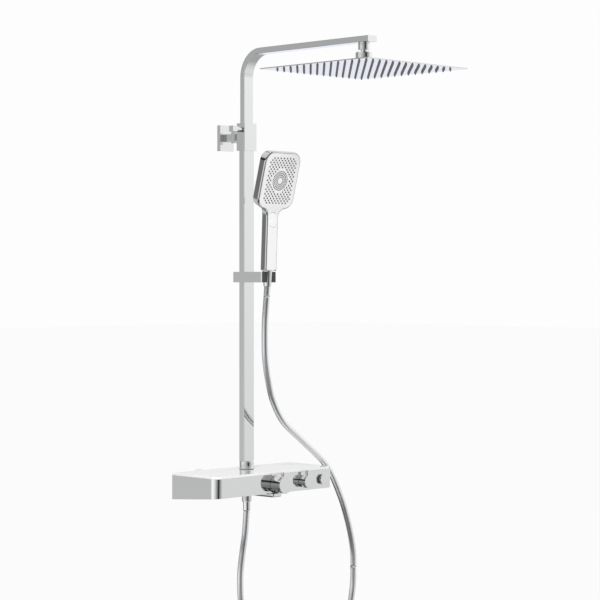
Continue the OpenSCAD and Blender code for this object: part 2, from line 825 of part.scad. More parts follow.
module head_boss() {
    r = boss_d / 2;
    color("silver") translate([0, swivel_y, boss_low]) rotate_extrude() difference() {
        polygon(concat(
            [[4, 0], [r, 0], [r, 2.4]],
            curve([r - 0.6, 3], [r - 5, 4], [r - 5.5, 7], [r - 5.5, boss_h - 0.6], 8),
            [[r - 6, boss_h], [4, boss_h]]
        ));
        translate([0, boss_h - ball_r + 4]) square([ball_r - 1, ball_r]);
        // clears the outer seat as the head tilts
        translate([0, ball_z - boss_low]) circle(cavity_r);
    }
}

module rain_plate() {
    color("silver") difference() {
        translate([0, swivel_y, plate_z]) linear_extrude(plate_t) soft_rect(plate_side, plate_side, 3);
        rod_z(0, swivel_y, 4, plate_z + plate_t / 2, plate_z + plate_t + 1);
    }
}

module rain_nozzles() {
    first = -plate_side / 2 + nozzle_margin;
    color("gray")
        for (i = [0:nozzle_count - 1], j = [0:nozzle_count - 1])
            translate([first + i * nozzle_pitch, swivel_y + first + j * nozzle_pitch, plate_z - nozzle_l])
                cylinder(h = nozzle_l, r1 = nozzle_d * 0.23, r2 = nozzle_d / 2, $fn = 16);
}

// ---- Locking knob ----

module locking_knob() {
    neck_r = lock_head / 2;
    outer = sleeve_w / 2;
    color("silver") translate([0, lock_y, lock_z]) rotate([0, -90, 0]) {
        translate([0, 0, upper_w / 2 + slide_gap + 0.3])
            cylinder(h = outer + 1 - upper_w / 2 - slide_gap - 0.3, r = lock_screw_r);
        translate([0, 0, outer + 0.3]) cylinder(h = lock_neck_l - 0.3, r = neck_r);
        translate([0, 0, outer + lock_neck_l]) linear_extrude(lock_head_l)
            soft_rect(lock_head, lock_head, 0.8);
    }
}

// ---- Holder ----

module holder_block() {
    r = holder_edge_r;
    w = holder_w;
    color("silver") difference() {
        translate([0, 0, holder_low]) linear_extrude(holder_h) union() {
            translate([-w / 2, holder_front + r]) square([w, holder_len - r - 1]);
            translate([-w / 2 + r, holder_front]) square([w - 2 * r, holder_len]);
            for (x = [-1, 1]) {
                translate([x * (w / 2 - r), holder_front + r]) circle(r);
                translate([x * (w / 2 - 1), holder_back - 1]) circle(1);
            }
            translate([-w / 2 + 1, holder_back - 1]) square([w - 2, 1]);
        }
        upright(lower_w + 2 * slide_gap, lower_d + 2 * slide_gap, tube_edge_r,
            holder_low - 1, holder_high + 1);
        // tapered seat, open at the front
        translate([0, fork_y, holder_low - eps]) cylinder(h = holder_h + 2 * eps,
            r1 = fork_low_r + liner_wall, r2 = fork_top_r + liner_wall);
        translate([-fork_low_r - liner_wall + 1, holder_front - 1, holder_low - 1])
            cube([2 * (fork_low_r + liner_wall - 1), fork_y - holder_front, holder_h + 2]);
        // seats of the dark tips
        for (x = [-1, 1])
            translate([x * (w / 2 - 1) - (x > 0 ? w / 2 : 0), holder_front - 1, holder_low - 1])
                cube([w / 2, 2.5, holder_h + 2]);
        // pocket of the brake pad
        translate([-6, riser_y + lower_d / 2 - 1, holder_mid - 6]) cube([12, 7, 12]);
    }
}

module holder_liner() {
    w = holder_w - 2 - 2 * seat_gap;
    color("black") difference() {
        union() {
            translate([0, fork_y, holder_low]) cylinder(h = holder_h,
                r1 = fork_low_r + liner_wall - seat_gap, r2 = fork_top_r + liner_wall - seat_gap);
            translate([-w / 2, holder_front, holder_low]) cube([w, 1.4, holder_h]);
        }
        translate([0, fork_y, holder_low - eps]) cylinder(h = holder_h + 2 * eps,
            r1 = fork_low_r, r2 = fork_top_r);
        translate([-fork_low_r + 1.4, holder_front - 10, holder_low - 1])
            cube([2 * fork_low_r - 2.8, 14, holder_h + 2]);
    }
}

module holder_pad() {
    y0 = riser_y + lower_d / 2 + slide_gap;
    color("dimgray") {
        translate([-5.8, y0, holder_mid - 5.8]) cube([11.6, 2.4, 11.6]);
        translate([0, y0 + 2.4, holder_mid]) rotate([-90, 0, 0]) cylinder(h = 2.9, r = 3);
    }
}

// ---- Hand shower ----
// The side view gives the face line; the front view gives the outline; the shell is lofted behind them.

head_up = [-sin(head_lean), cos(head_lean)];
head_mid = [head_mid_y, head_mid_z];
head_high = head_mid + head_up * head_l / 2;
head_foot = head_mid - head_up * head_l / 2;
handle_lean_y = 4.9;
face_low = [handle_face_y, handle_low];
face_knee = [handle_face_y - handle_lean_y, handle_low + handle_straight];
// face line from the foot of the handle to the top of the head, moved back by t
function face_line(t) = concat(
    [face_low + [t, 0]],
    curve(face_knee + [t, 0], face_knee + [t - 0.4, 8],
        head_foot + [t, 0] - head_up, head_foot + head_up * 8 + [t, 0], 8),
    [head_high + head_up * (bezel + 3) + [t, 0]]
);
FACE_TABLE = [for (p = face_line(0)) [p[1], p[0]]];
LEAN_TABLE = let (line = face_line(0)) [
    for (i = [0:len(line) - 2]) let (step = line[i + 1] - line[i], mid = (line[i] + line[i + 1]) / 2)
        [mid[1], atan2(-step[0], step[1])]
];

// Front outline: rounded head, hollow neck and handle. Its right half, top to foot, grown outwards.
corner_x = head_w / 2 - head_corner_r;
neck_x = handle_w / 2 + neck_r;
neck_side_x = max(0, neck_x - corner_x);
neck_drop = sqrt(pow(head_corner_r + neck_r, 2) - pow(neck_side_x, 2));
neck_turn = atan2(neck_drop, neck_side_x);
corner_low_z = head_foot[1] + head_corner_r;
neck_z = corner_low_z - neck_drop - (neck_x < corner_x ? 0.05 : 0);
foot_r = 2;
face_foot = handle_low + 2;
function arc(x, z, r, a0, a1, steps) =
    [for (i = [0:steps]) let (a = a0 + (a1 - a0) * i / steps) [x + r * cos(a), z + r * sin(a)]];
function half_outline(grow, foot) = concat(
    arc(corner_x, head_high[1] - head_corner_r, head_corner_r + grow, 90, 0, 8),
    arc(corner_x, corner_low_z, head_corner_r + grow, 0, -neck_turn, 8),
    arc(neck_x, neck_z, neck_r - grow, 180 - neck_turn + 3, 180, 7),
    [for (i = [1:3]) [handle_w / 2 + grow, neck_z + (handle_low + 3 * foot_r - neck_z) * i / 4]],
    arc(handle_w / 2 + grow - foot_r, foot + foot_r, foot_r, 0, -90, 3)
);
function mirrored(points) = [for (i = [len(points) - 1:-1:0]) [-points[i][0], points[i][1]]];

module shower_outline(grow, foot) {
    half = half_outline(grow, foot);
    polygon(concat(half, mirrored(half)));
}

module from_front(grow, foot) {
    translate([0, handle_face_y + shower_t, 0]) rotate([90, 0, 0])
        linear_extrude(shower_t + head_l) shower_outline(grow, foot);
}

module from_side(points, w) {
    translate([-w / 2, 0, 0]) rotate([90, 0, 90]) linear_extrude(w) polygon(points);
}

function backwards(list) = [for (i = [len(list) - 1:-1:0]) list[i]];

// Section of the shell from the front rim to the back: [depth behind the face line, growth]
back_round = 6;
back_draft = 1.2;
function shell_section() = let (rim = 0.6, front = 0.3) concat(
    [for (a = [0:30:90]) [front + bezel * (1 - cos(a)), rim + (bezel - rim) * sin(a)]],
    [for (a = [0:18:90]) [shower_t - back_round * (1 - sin(a)),
        bezel - back_draft - back_round * (1 - cos(a))]]
);

// Point of the outline moved back across the face line
function behind(p, depth) = let (lean = lookup(p[1], LEAN_TABLE))
    [p[0], lookup(p[1], FACE_TABLE) + depth * cos(lean), p[1] + depth * sin(lean)];

module shell_form() {
    section = shell_section();
    m = len(half_outline(0, handle_low));
    n = 2 * m;
    points = [
        for (s = section) let (half = half_outline(s[1], handle_low))
            for (p = concat(half, mirrored(half))) behind(p, s[0])
    ];
    last = (len(section) - 1) * n;
    polyhedron(points, concat(
        [for (k = [0:len(section) - 2], i = [0:n - 1]) let (a = k * n + i, b = k * n + (i + 1) % n)
            each [[a, b + n, b], [a, a + n, b + n]]],
        [for (i = [0:m - 2]) let (l = n - 1 - i) each [[i, l - 1, l], [i, i + 1, l - 1]]],
        [for (i = [0:m - 2]) let (l = n - 1 - i)
            each [[last + i, last + l - 1, last + i + 1], [last + i, last + l, last + l - 1]]]
    ));
}

// Oval of the spray button, standing on its long axis
module button_oval(grow) {
    r = spray_button_r + grow;
    translate([-r, -spray_button_half]) square([2 * r, 2 * spray_button_half]);
    for (z = [-1, 1]) translate([0, z * spray_button_half]) circle(r);
}

// Oval prism through the handle's face, between two depths behind it
module button_prism(grow, t0, t1) {
    y_face = lookup(spray_button_z, FACE_TABLE);
    translate([0, y_face + t1, spray_button_z]) rotate([90, 0, 0])
        linear_extrude(t1 - t0) button_oval(grow);
}

module hand_shower_shell() {
    floor_t = face_t + seat_gap;
    color("silver") difference() {
        shell_form();
        // seat of the white face
        intersection() {
            from_front(seat_gap, face_foot - seat_gap);
            from_side(concat(face_line(-2), backwards(face_line(floor_t))), head_w + 2);
        }
        button_prism(0.4, 0, face_t + 3.4);
        translate([0, handle_face_y + 12, spray_button_z]) rotate([90, 0, 0])
            cylinder(h = 12, r = 4.5);
        // socket of the cone's neck
        rod_z(0, fork_y, 7.1, handle_low - 1, handle_low + 14);
    }
}

module hand_shower_face() {
    color("white") difference() {
        intersection() {
            from_front(0, face_foot);
            from_side(concat(face_line(0), backwards(face_line(face_t))), head_w + 2);
        }
        button_prism(0.3, -2, face_t + 4);
    }
}

// Places of the small nozzles on the head's face: rings in the middle, a staggered field around
module disc_dots() {
    step = disc_r / 5;
    for (ring = [2:5], k = [0:7 * ring - 1])
        rotate(360 * k / (7 * ring)) translate([ring * step, 0]) children();
}

module field_dots() {
    margin = 9.5;
    half_w = head_w / 2 - margin;
    half_l = head_l / 2 - margin;
    corner = head_corner_r - margin / 2;
    rows = floor(half_l / dot_row);
    cols = ceil(half_w / dot_pitch);
    for (i = [-rows:rows], j = [-cols:cols]) {
        p = [(j + (i % 2 == 0 ? 0 : 0.5)) * dot_pitch, i * dot_row];
        past_core = norm([max(0, abs(p[0]) - half_w + corner), max(0, abs(p[1]) - half_l + corner)]);
        if (norm(p) > disc_r + 5 && past_core <= corner) translate(p) children();
    }
}

module hand_shower_nozzles() {
    color("gray") translate([0, head_mid[0], head_mid[1]]) rotate([90 + head_lean, 0, 0]) {
        disc_dots() cylinder(h = 0.6, d = disc_dot_d, $fn = 16);
        field_dots() cylinder(h = 0.8, d = dot_d, $fn = 16);
    }
}

module hand_shower_cone() {
    rate = (fork_top_r - fork_low_r) / holder_h;
    low_r = fork_low_r - turn_gap - 0.02;
    color("silver") translate([0, fork_y, 0]) difference() {
        union() {
            translate([0, 0, holder_low]) cylinder(h = handle_low - holder_low,
                r1 = low_r, r2 = low_r + rate * (handle_low - holder_low));
            translate([0, 0, cone_low])
                cylinder(h = holder_low - cone_low + eps, r1 = low_r - 0.3, r2 = low_r);
            translate([0, 0, handle_low]) cylinder(h = 12, r = 7);
        }
        translate([0, 0, cone_low + 3]) cylinder(h = handle_low + 20 - cone_low, r = 4.5);
    }
}

module spray_button() {
    color("white") {
        button_prism(0, -0.6, face_t - 0.2);
        button_prism(-6, face_t - 0.2, face_t + 1.2);
    }
}

// Coil spring drawn as its thin sleeve
module spring_sleeve(r, l) {
    difference() {
        cylinder(h = l, r = r);
        translate([0, 0, -1]) cylinder(h = l + 2, r = r - 0.6);
    }
}

module spray_button_spring() {
    y_face = lookup(spray_button_z, FACE_TABLE);
    low = handle_face_y + 12;
    color("silver") translate([0, low, spray_button_z]) rotate([90, 0, 0])
        spring_sleeve(3.6, low - (y_face + face_t + 1.2));
}

// ---- Controls ----

// Ring of hollows around a knob's front rim
module scallops(d, l, count, depth) {
    for (k = [0:count - 1])
        rotate(360 * (k + 0.5) / count) translate([d / 2 + 9 - depth, 0, l * 0.36])
            rotate([0, 9, 0]) cylinder(h = l, r = 9);
}

module knob_form(x, d, l, count) {
    color("silver") translate([x, front_y - control_gap, control_z]) rotate([90, 0, 0]) difference() {
        rotate_extrude() polygon([
            [0, 1.5], [d / 2 - 2.5, 1.5], [d / 2 - 2.5, 0], [d / 2, 0], [d / 2, l - control_gap - 1],
            [d / 2 - 1, l - control_gap], [0, l - control_gap]
        ]);
        scallops(d, l, count, 1.7);
        translate([0, 0, -1]) cylinder(h = l - 5 + 1.5, r = stem_r + turn_gap);
        children();
    }
}

pin_r = 3.5;
pin_back = 9.5;

module temperature_knob() {
    knob_form(temp_x, temp_knob_d, temp_knob_l, 10)
        translate([0, temp_knob_d / 2 - 6, temp_knob_l - pin_back - control_gap]) rotate([-90, 0, 0])
            cylinder(h = 10, r = pin_r + turn_gap);
}

module safety_pin() {
    color("silver") translate([temp_x, front_y - temp_knob_l + pin_back, control_z + temp_knob_d / 2])
        translate([0, 0, -3]) cylinder(h = 9.5, r = pin_r);
}

module safety_pin_spring() {
    color("silver") translate([temp_x, front_y - temp_knob_l + pin_back, control_z + temp_knob_d / 2 - 6])
        spring_sleeve(2.6, 3);
}

module diverter_knob() {
    knob_form(flow_x, flow_knob_d, flow_knob_l, 8);
    color("silver") translate([flow_x, front_y - flow_knob_l + 7.5, control_z + flow_knob_d / 2 - 1.5])
        cylinder(h = 12, r = 3.2);
}

module push_button() {
    color("silver") {
        rod_y(button_x, control_z, button_d / 2, front_y - button_travel - 0.2, front_y - button_l);
        rod_y(button_x, control_z, button_stem_r, front_y - button_l + 1, front_y + 14);
    }
}

module push_button_spring() {
    color("silver") translate([button_x, front_y + 9, control_z]) rotate([90, 0, 0])
        spring_sleeve(button_stem_r + 1.8, 9 + button_travel + 0.2);
}

// ---- Hose ----

module hose_outlet_nut() {
    r = hose_nut_d / 2;
    color("silver") translate([0, riser_y, hose_nut_top - hose_nut_l]) rotate_extrude() difference() {
        polygon([
            [outlet_r + seat_gap - 1, 0], [r - 1, 0], [r, 1], [r, hose_nut_l - 3],
            [r - 1, hose_nut_l - 2.4], [outlet_r + seat_gap - 1, hose_nut_l - 2.4]
        ]);
        translate([0, hose_nut_l - 9]) square([outlet_r + seat_gap, 9]);
        for (z = [3:1.6:12]) translate([r, z]) circle(0.35);
    }
}

module hose_ferrule() {
    high = hose_nut_top - hose_nut_l;
    color("silver") translate([0, riser_y, ferrule_low]) difference() {
        union() {
            cylinder(h = high - ferrule_low, r = ferrule_r);
            translate([0, 0, high - ferrule_low]) cylinder(h = 5, r = outlet_r - 1.2);
        }
        translate([0, 0, 5]) cylinder(h = high - ferrule_low + 6, r = 5);
    }
}

module hose_lower() {
    color("silver") hose_tube(0, hose_split);
}

module hose_upper() {
    color("silver") hose_tube(hose_split, len(hose_route) - 1);
}

mixer_casing();
shelf_slab();
back_frame();
valve_body();
temperature_cartridge();
diverter_cartridge();
button_valve();
wall_union(-inlet_spacing / 2);  // wall_union_left
wall_union(inlet_spacing / 2);  // wall_union_right
rose(-inlet_spacing / 2);  // rose_left
rose(inlet_spacing / 2);  // rose_right
union_nut(-inlet_spacing / 2);  // union_nut_left
union_nut(inlet_spacing / 2);  // union_nut_right
bath_spout();
spout_aerator();
riser_nut();
lower_riser();
locking_sleeve();
guide_bush();
bracket_bar();
bar_collar();
wall_plate();
bracket_base();
hose_outlet_nut();
hose_ferrule();
hose_lower();
hose_upper();
upper_riser();
riser_foot();
arm_end_cap();
swivel_nut();
swivel_ball();
locking_knob();
inner_ball_seat();
outer_ball_seat();
ball_collar();
head_boss();
rain_plate();
rain_nozzles();
holder_block();
holder_liner();
holder_pad();
hand_shower_shell();
hand_shower_face();
hand_shower_nozzles();
hand_shower_cone();
spray_button();
spray_button_spring();
temperature_knob();
safety_pin();
safety_pin_spring();
diverter_knob();
push_button();
push_button_spring();
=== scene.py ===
"""Looks of a wall-mounted shower column: stage, hose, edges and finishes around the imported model."""

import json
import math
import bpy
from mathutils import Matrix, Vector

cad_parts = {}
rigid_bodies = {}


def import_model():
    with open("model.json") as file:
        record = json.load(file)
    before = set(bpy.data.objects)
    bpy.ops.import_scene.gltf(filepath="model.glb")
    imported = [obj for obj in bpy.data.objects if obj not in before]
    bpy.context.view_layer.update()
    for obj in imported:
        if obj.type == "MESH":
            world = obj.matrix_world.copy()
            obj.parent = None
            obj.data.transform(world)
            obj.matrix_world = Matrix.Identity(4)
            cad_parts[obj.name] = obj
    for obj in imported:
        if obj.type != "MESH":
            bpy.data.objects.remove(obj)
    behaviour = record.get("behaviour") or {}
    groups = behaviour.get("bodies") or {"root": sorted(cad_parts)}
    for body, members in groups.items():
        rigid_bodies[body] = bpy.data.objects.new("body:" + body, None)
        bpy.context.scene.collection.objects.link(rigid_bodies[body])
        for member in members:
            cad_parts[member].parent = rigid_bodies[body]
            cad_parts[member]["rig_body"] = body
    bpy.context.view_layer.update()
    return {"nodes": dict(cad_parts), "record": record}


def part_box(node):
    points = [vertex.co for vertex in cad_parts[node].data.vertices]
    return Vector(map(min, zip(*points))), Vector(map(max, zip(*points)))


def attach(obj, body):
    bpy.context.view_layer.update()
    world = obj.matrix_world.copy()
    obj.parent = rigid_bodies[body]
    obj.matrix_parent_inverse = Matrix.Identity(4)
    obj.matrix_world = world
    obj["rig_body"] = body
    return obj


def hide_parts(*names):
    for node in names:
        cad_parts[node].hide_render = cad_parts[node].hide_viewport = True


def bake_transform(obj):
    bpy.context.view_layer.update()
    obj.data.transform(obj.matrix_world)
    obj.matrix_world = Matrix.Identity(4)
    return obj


bl_info = {
    "name": "Shower column",
    "version": (1, 0, 0),
    "blender": (4, 5, 0),
    "location": "View3D > Sidebar > Shower",
    "description": "Stage, hose, softened edges and finishes of a shower column",
    "category": "Object",
}

import bmesh
import bpy
import numpy as np
from bpy.props import FloatProperty, FloatVectorProperty, IntProperty, PointerProperty

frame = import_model()

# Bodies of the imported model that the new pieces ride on
MIXER = "mixer"
HAND_SHOWER = "hand_shower"
TEMPERATURE = "temperature_control"
DIVERTER = "diverter_control"

# The hose's route from the ferrule under the mixer to the hand shower, in metres
HOSE_ROUTE = [
    (0, -0.072, -0.057), (-0.005, -0.072, -0.109), (-0.013, -0.072, -0.152),
    (-0.019, -0.072, -0.200), (-0.016, -0.073, -0.260), (0.004, -0.075, -0.325),
    (0.055, -0.079, -0.392), (0.143, -0.084, -0.428), (0.236, -0.088, -0.392),
    (0.288, -0.092, -0.328), (0.305, -0.094, -0.265), (0.305, -0.098, -0.207),
    (0.298, -0.102, -0.160), (0.276, -0.108, -0.100), (0.244, -0.113, -0.036),
    (0.196, -0.119, 0.030), (0.113, -0.126, 0.090), (0.053, -0.131, 0.133),
    (0.019, -0.134, 0.180), (0.003, -0.136, 0.225), (-0.006, -0.137, 0.268),
    (-0.008, -0.137, 0.310), (-0.007, -0.137, 0.353), (-0.003, -0.137, 0.395),
    (0, -0.1365, 0.425),
]
# The route's point where the lower length ends, and the short end's share of the last stretch
HOSE_SPLIT = 11
HOSE_END_SHARE = 0.8

# The studio that bright surfaces show: compass angle in degrees from +Y towards +X, and its grey
RING_CARDS = [
    (-180, 0.36), (-177.5, 0.34), (-175, 0.03), (-163, 0.03), (-157, 0.08), (-151, 0.18), (-144, 0.30),
    (-138, 0.37), (-126, 0.52), (-112, 0.74), (-97, 0.92), (-80, 1.04), (-60, 0.98), (-49, 0.57),
    (-40, 0.57), (-35, 0.24), (-22, 0.24), (-8, 0.60), (8, 0.90), (30, 0.84), (60, 0.84), (84, 0.98),
    (122, 0.98), (138, 0.97), (150, 0.72), (165, 0.48), (180, 0.36),
]
# The same above and below that ring: height angle in degrees, and its grey
SOUTH_BANDS = [
    (-90, 0.80), (-60, 0.70), (-50, 0.04), (-40, 0.04), (-34, 0.28), (-10, 0.34), (9, 0.26), (12, 0.03),
    (24, 0.03), (29, 0.42), (50, 0.50), (65, 0.85), (90, 1.00),
]
NORTH_BANDS = [
    (-90, 0.90), (-66, 0.80), (-56, 0.10), (-32, 0.10), (-20, 0.75), (9, 0.40), (12, 0.03), (23, 0.03),
    (30, 0.75), (60, 0.95), (90, 1.00),
]
# Way towards the dark flag that stands low behind the object
LOW_FLAG = (0.40, 0.69, -0.60)
LAVENDER = (0.945, 0.965, 1.055, 1.0)
WHITE = (1.0, 1.0, 1.0, 1.0)
FLAG_GREY = (0.03, 0.03, 0.03, 1.0)
SIDE_GREY = (0.47, 0.48, 0.49, 1.0)
SIDE_PALE = (0.93, 0.94, 0.94, 1.0)
# Where one card gives way to the next: start and end of a ray's way east, north, up or to the flag
RING_EDGE = (0.15, 0.2)
WEST_TO_EAST = (0.25, 0.5)
SOUTH_TO_NORTH = (-0.15, 0.15)
SIDE_TO_SOUTH = (0.0, -0.75)
LOW_TO_HIGH = (-0.05, 0.1)
FLAG_EDGE = (0.955, 0.975)
FLOOR_CARD = ((-0.42, -0.2), (0.2, 0.5))
RING_LAVENDER = ((0.1, 0.4), (-0.2, 0.2), (0.02, -0.06))
# How much the ring brightens to the upper east and darkens to the upper west
RING_TILT = 1.6

# The large soft lamp: its size, place, and turns in degrees
KEY_SIZE = 1.8
KEY_PLACE = (-2.05, -2.10, 2.05)
KEY_TURNS = (60, 0, -47)

# The floor: half its side, its own grey, how much brighter than the room it glows to the eye, and the
# share of that glow against its own shade
FLOOR_HALF = 40.0
FLOOR_GREY = (0.9, 0.9, 0.9, 1.0)
FLOOR_GLOW = 1.03
FLOOR_GLOW_SHARE = 0.92

# The winding under the hose's skin: turns in a metre
HOSE_TURNS = 420.0


# ---- Settings ----

def length(name, description, default):
    """A setting in metres."""
    return FloatProperty(name=name, description=description, default=default, unit="LENGTH")


def tint(name, description, default):
    """A colour setting."""
    return FloatVectorProperty(name=name, description=description, default=default, size=3,
                               subtype="COLOR", min=0, max=1)


class StageSettings(bpy.types.PropertyGroup):
    """Camera, light and floor."""

    camera_place: FloatVectorProperty(
        name="Camera place", description="Where the camera stands",
        default=(-2.9637, -3.2238, 0.4482), size=3, subtype="TRANSLATION", unit="LENGTH")
    camera_heading: FloatProperty(
        name="Camera heading", description="Turn of the level camera from +Y towards +X",
        default=math.radians(44.76), subtype="ANGLE")
    lens: FloatProperty(
        name="Lens", description="Focal length on a 36 mm sensor, in millimetres",
        default=120.55, min=20, max=300)
    shift: FloatProperty(
        name="Shift", description="Upward shift of the picture, as a share of its width",
        default=-0.0414, min=-0.2, max=0.2)
    floor_drop: length("Floor drop", "Height of the floor below the wall inlets", -0.95)
    room_light: FloatProperty(
        name="Room light", description="Strength of the even light that falls on the object",
        default=0.44, min=0, max=2)
    key_power: FloatProperty(
        name="Key light", description="Power of the large soft lamp", default=121, min=0, max=300)
    backdrop: FloatProperty(
        name="Backdrop", description="Brightness of the room and the floor to the eye",
        default=0.984, min=0, max=1)


class HoseSettings(bpy.types.PropertyGroup):
    """The shower hose."""

    diameter: length("Diameter", "Outside diameter of the hose", 0.014)
    lower_length: length(
        "Lower length", "Length from the ferrule to the joint in the rising stretch", 0.763)
    upper_length: length(
        "Upper length", "Length from that joint to the short end under the hand shower", 0.726)
    slack_foot: length(
        "Slack foot", "Height above which the hose gives way as the holder slides", 0.068)
    sides: IntProperty(name="Sides", description="Faces around the hose", default=32, min=8, max=64)
    steps: IntProperty(
        name="Steps", description="Rings between two points of the route", default=10, min=2, max=24)


class EdgeSettings(bpy.types.PropertyGroup):
    """Softened edges of the plated pieces."""

    fine: length("Fine", "Width of the narrowest softened edge", 0.00035)
    medium: length("Medium", "Width of the edge of tubes and blocks", 0.0006)
    shelf: length("Shelf", "Radius of the rolled edge of the shelf", 0.0016)


class FinishSettings(bpy.types.PropertyGroup):
    """Colours of the finishes."""

    chrome: tint("Chrome", "Reflection of the chrome plate", (0.745, 0.752, 0.752))
    polished: tint("Polished steel", "Reflection of the rain plate", (0.63, 0.632, 0.635))
    plated: tint("Plated plastic", "Reflection of the hand shower's shell", (0.66, 0.668, 0.67))
    white: tint("White", "White of the hand shower's face", (0.77, 0.77, 0.772))
    shelf: tint("Shelf", "White of the shelf slab", (0.77, 0.77, 0.772))
    hose: tint("Hose", "Silver of the hose", (0.84, 0.85, 0.865))


class KnobSettings(bpy.types.PropertyGroup):
    """The knobs and the bath spout."""

    temperature: length("Temperature knob", "Diameter of the temperature knob", 0.038)
    diverter: length("Diverter knob", "Diameter of the diverter knob", 0.0275)
    lever: length("Lever pin", "Diameter of the diverter's lever pin", 0.0064)
    hollows: IntProperty(
        name="Hollows", description="Finger hollows round a knob", default=4, min=2, max=12)
    knob_edge: length("Knob edge", "Radius of a knob's front edge", 0.0008)
    hollow_depth: length("Hollow depth", "Greatest depth of a finger hollow", 0.0013)
    hollow_round: length("Hollow rounding", "Radius of a finger hollow across", 0.090)
    hollow_start: FloatProperty(
        name="Hollow start", description="Share of the knob's length behind the hollows", default=0.30,
        min=0.1, max=0.8)
    spout_width: length("Spout width", "Width of the bath spout", 0.028)
    spout_middle: length("Spout middle", "Middle of the spout, to the right of the riser", -0.001)
    spout_short: length(
        "Spout set back", "How far the lip stays behind the packed spout's front", 0.006)
    spout_round: length("Spout rounding", "Radius of the spout's front and lower edges", 0.0045)


class HandShowerSettings(bpy.types.PropertyGroup):
    """The hand shower's shell."""

    head_width: length("Head width", "Width of the white face's head", 0.097)
    head_length: length("Head length", "Length of the white face's head", 0.118)
    head_corner: length("Head corner", "Corner radius of the head", 0.020)
    head_rise: length("Head rise", "Height of the head's middle above the handle's foot", 0.1903)
    head_forward: length("Head forward", "Distance of the head's middle in front of the handle", 0.026)
    lean: FloatProperty(
        name="Lean", description="Lean of the head to the front", default=math.radians(15.4),
        subtype="ANGLE")
    handle_width: length("Handle width", "Width of the handle's white face", 0.0266)
    handle_straight: length("Straight handle", "Length of the handle below the bend", 0.116)
    handle_lean: length(
        "Handle lean", "How far the top of the handle lies in front of its foot", 0.0049)
    neck_radius: length("Neck radius", "Radius of the hollow between head and handle", 0.019)
    bezel: length("Bezel", "Width of the rounded plated rim round the face", 0.0035)
    depth: length("Depth", "Thickness of the hand shower", 0.0195)
    back_round: length("Back rounding", "Radius of the shell's back edge", 0.0035)
    head_extra: length("Head extra", "How much deeper the head is than the handle", 0.0022)
    back_draft: length("Back draft", "How far the shell's side draws in towards its back", 0.0014)


class ShowerSettings(bpy.types.PropertyGroup):
    """All the settings of the shower column."""

    stage: PointerProperty(type=StageSettings)
    hose: PointerProperty(type=HoseSettings)
    edges: PointerProperty(type=EdgeSettings)
    knobs: PointerProperty(type=KnobSettings)
    handset: PointerProperty(type=HandShowerSettings)
    finish: PointerProperty(type=FinishSettings)


# ---- Shader graphs ----

class Wire:
    """A socket's value, on which + * / add Math nodes."""

    def __init__(self, graph, socket):
        self.graph = graph
        self.socket = socket

    def _math(self, operation, first, second):
        return self.graph.wire("ShaderNodeMath", {"operation": operation}, {0: first, 1: second})

    def __add__(self, other):
        return self._math("ADD", self, other)

    __radd__ = __add__

    def __mul__(self, other):
        return self._math("MULTIPLY", self, other)

    __rmul__ = __mul__

    def __truediv__(self, other):
        return self._math("DIVIDE", self, other)

    def __rtruediv__(self, other):
        return self._math("DIVIDE", other, self)


class Graph:
    """Adds nodes to one node tree."""

    def __init__(self, tree):
        self.tree = tree
        tree.nodes.clear()

    def node(self, kind, settings=None, sockets=None):
        """Adds a node, sets its settings, then fills its sockets with values or links."""
        made = self.tree.nodes.new(kind)
        for name, value in (settings or {}).items():
            if name == "stops":
                self._stops(made.color_ramp, value)
            else:
                setattr(made, name, value)
        for name, value in (sockets or {}).items():
            if isinstance(value, Wire):
                self.tree.links.new(value.socket, made.inputs[name])
            else:
                made.inputs[name].default_value = value
        return made

    def wire(self, kind, settings=None, sockets=None, output=0):
        """Adds a node and gives one of its outputs."""
        return Wire(self, self.node(kind, settings, sockets).outputs[output])

    @staticmethod
    def _stops(ramp, stops):
        while len(ramp.elements) < len(stops):
            ramp.elements.new(0.5)
        for element, (place, colour) in zip(ramp.elements, stops):
            element.position = place
            element.color = (*colour, 1)


def rgba(colour):
    """A colour with full alpha."""
    return (*colour, 1.0)


def new_material(name):
    """An empty material and its graph."""
    material = bpy.data.materials.new(name)
    material.use_nodes = True
    return material, Graph(material.node_tree)


def close_material(graph, shader):
    """Puts the shader on the surface."""
    graph.node("ShaderNodeOutputMaterial", None, {"Surface": shader})


def smooth_range(graph, value, edge):
    """A smooth step of a value from 0 at the edge's start to 1 at its end."""
    return graph.wire("ShaderNodeMapRange", {"interpolation_type": "SMOOTHSTEP"},
                      {0: value, 1: edge[0], 2: edge[1]})


def mixed(graph, share, first, second, blend="MIX"):
    """A colour between two: the first where the share is 0, the second where it is 1."""
    return graph.wire("ShaderNodeMix", {"data_type": "RGBA", "blend_type": blend},
                      {0: share, 6: first, 7: second}, output=2)


def shaded(colour, factor):
    """A colour made darker or lighter by a factor, up to white."""
    return rgba([min(1.0, part * factor) for part in colour])


def grey_ramp(graph, place, stops):
    """A ramp of greys along a value from 0 to 1."""
    return graph.wire("ShaderNodeValToRGB", {
        "stops": [(position, (grey, grey, grey)) for position, grey in stops],
    }, {0: place})


def speckle(graph, scale, detail=2.0):
    """Noise on the object's own coordinates, from 0 to 1."""
    place = graph.wire("ShaderNodeTexCoord", output="Object")
    return graph.wire("ShaderNodeTexNoise", None, {"Vector": place, "Scale": scale, "Detail": detail})


def bump(graph, height, distance):
    """A Bump node's normal from a height."""
    return graph.wire("ShaderNodeBump", None, {"Height": height, "Distance": distance}, output="Normal")


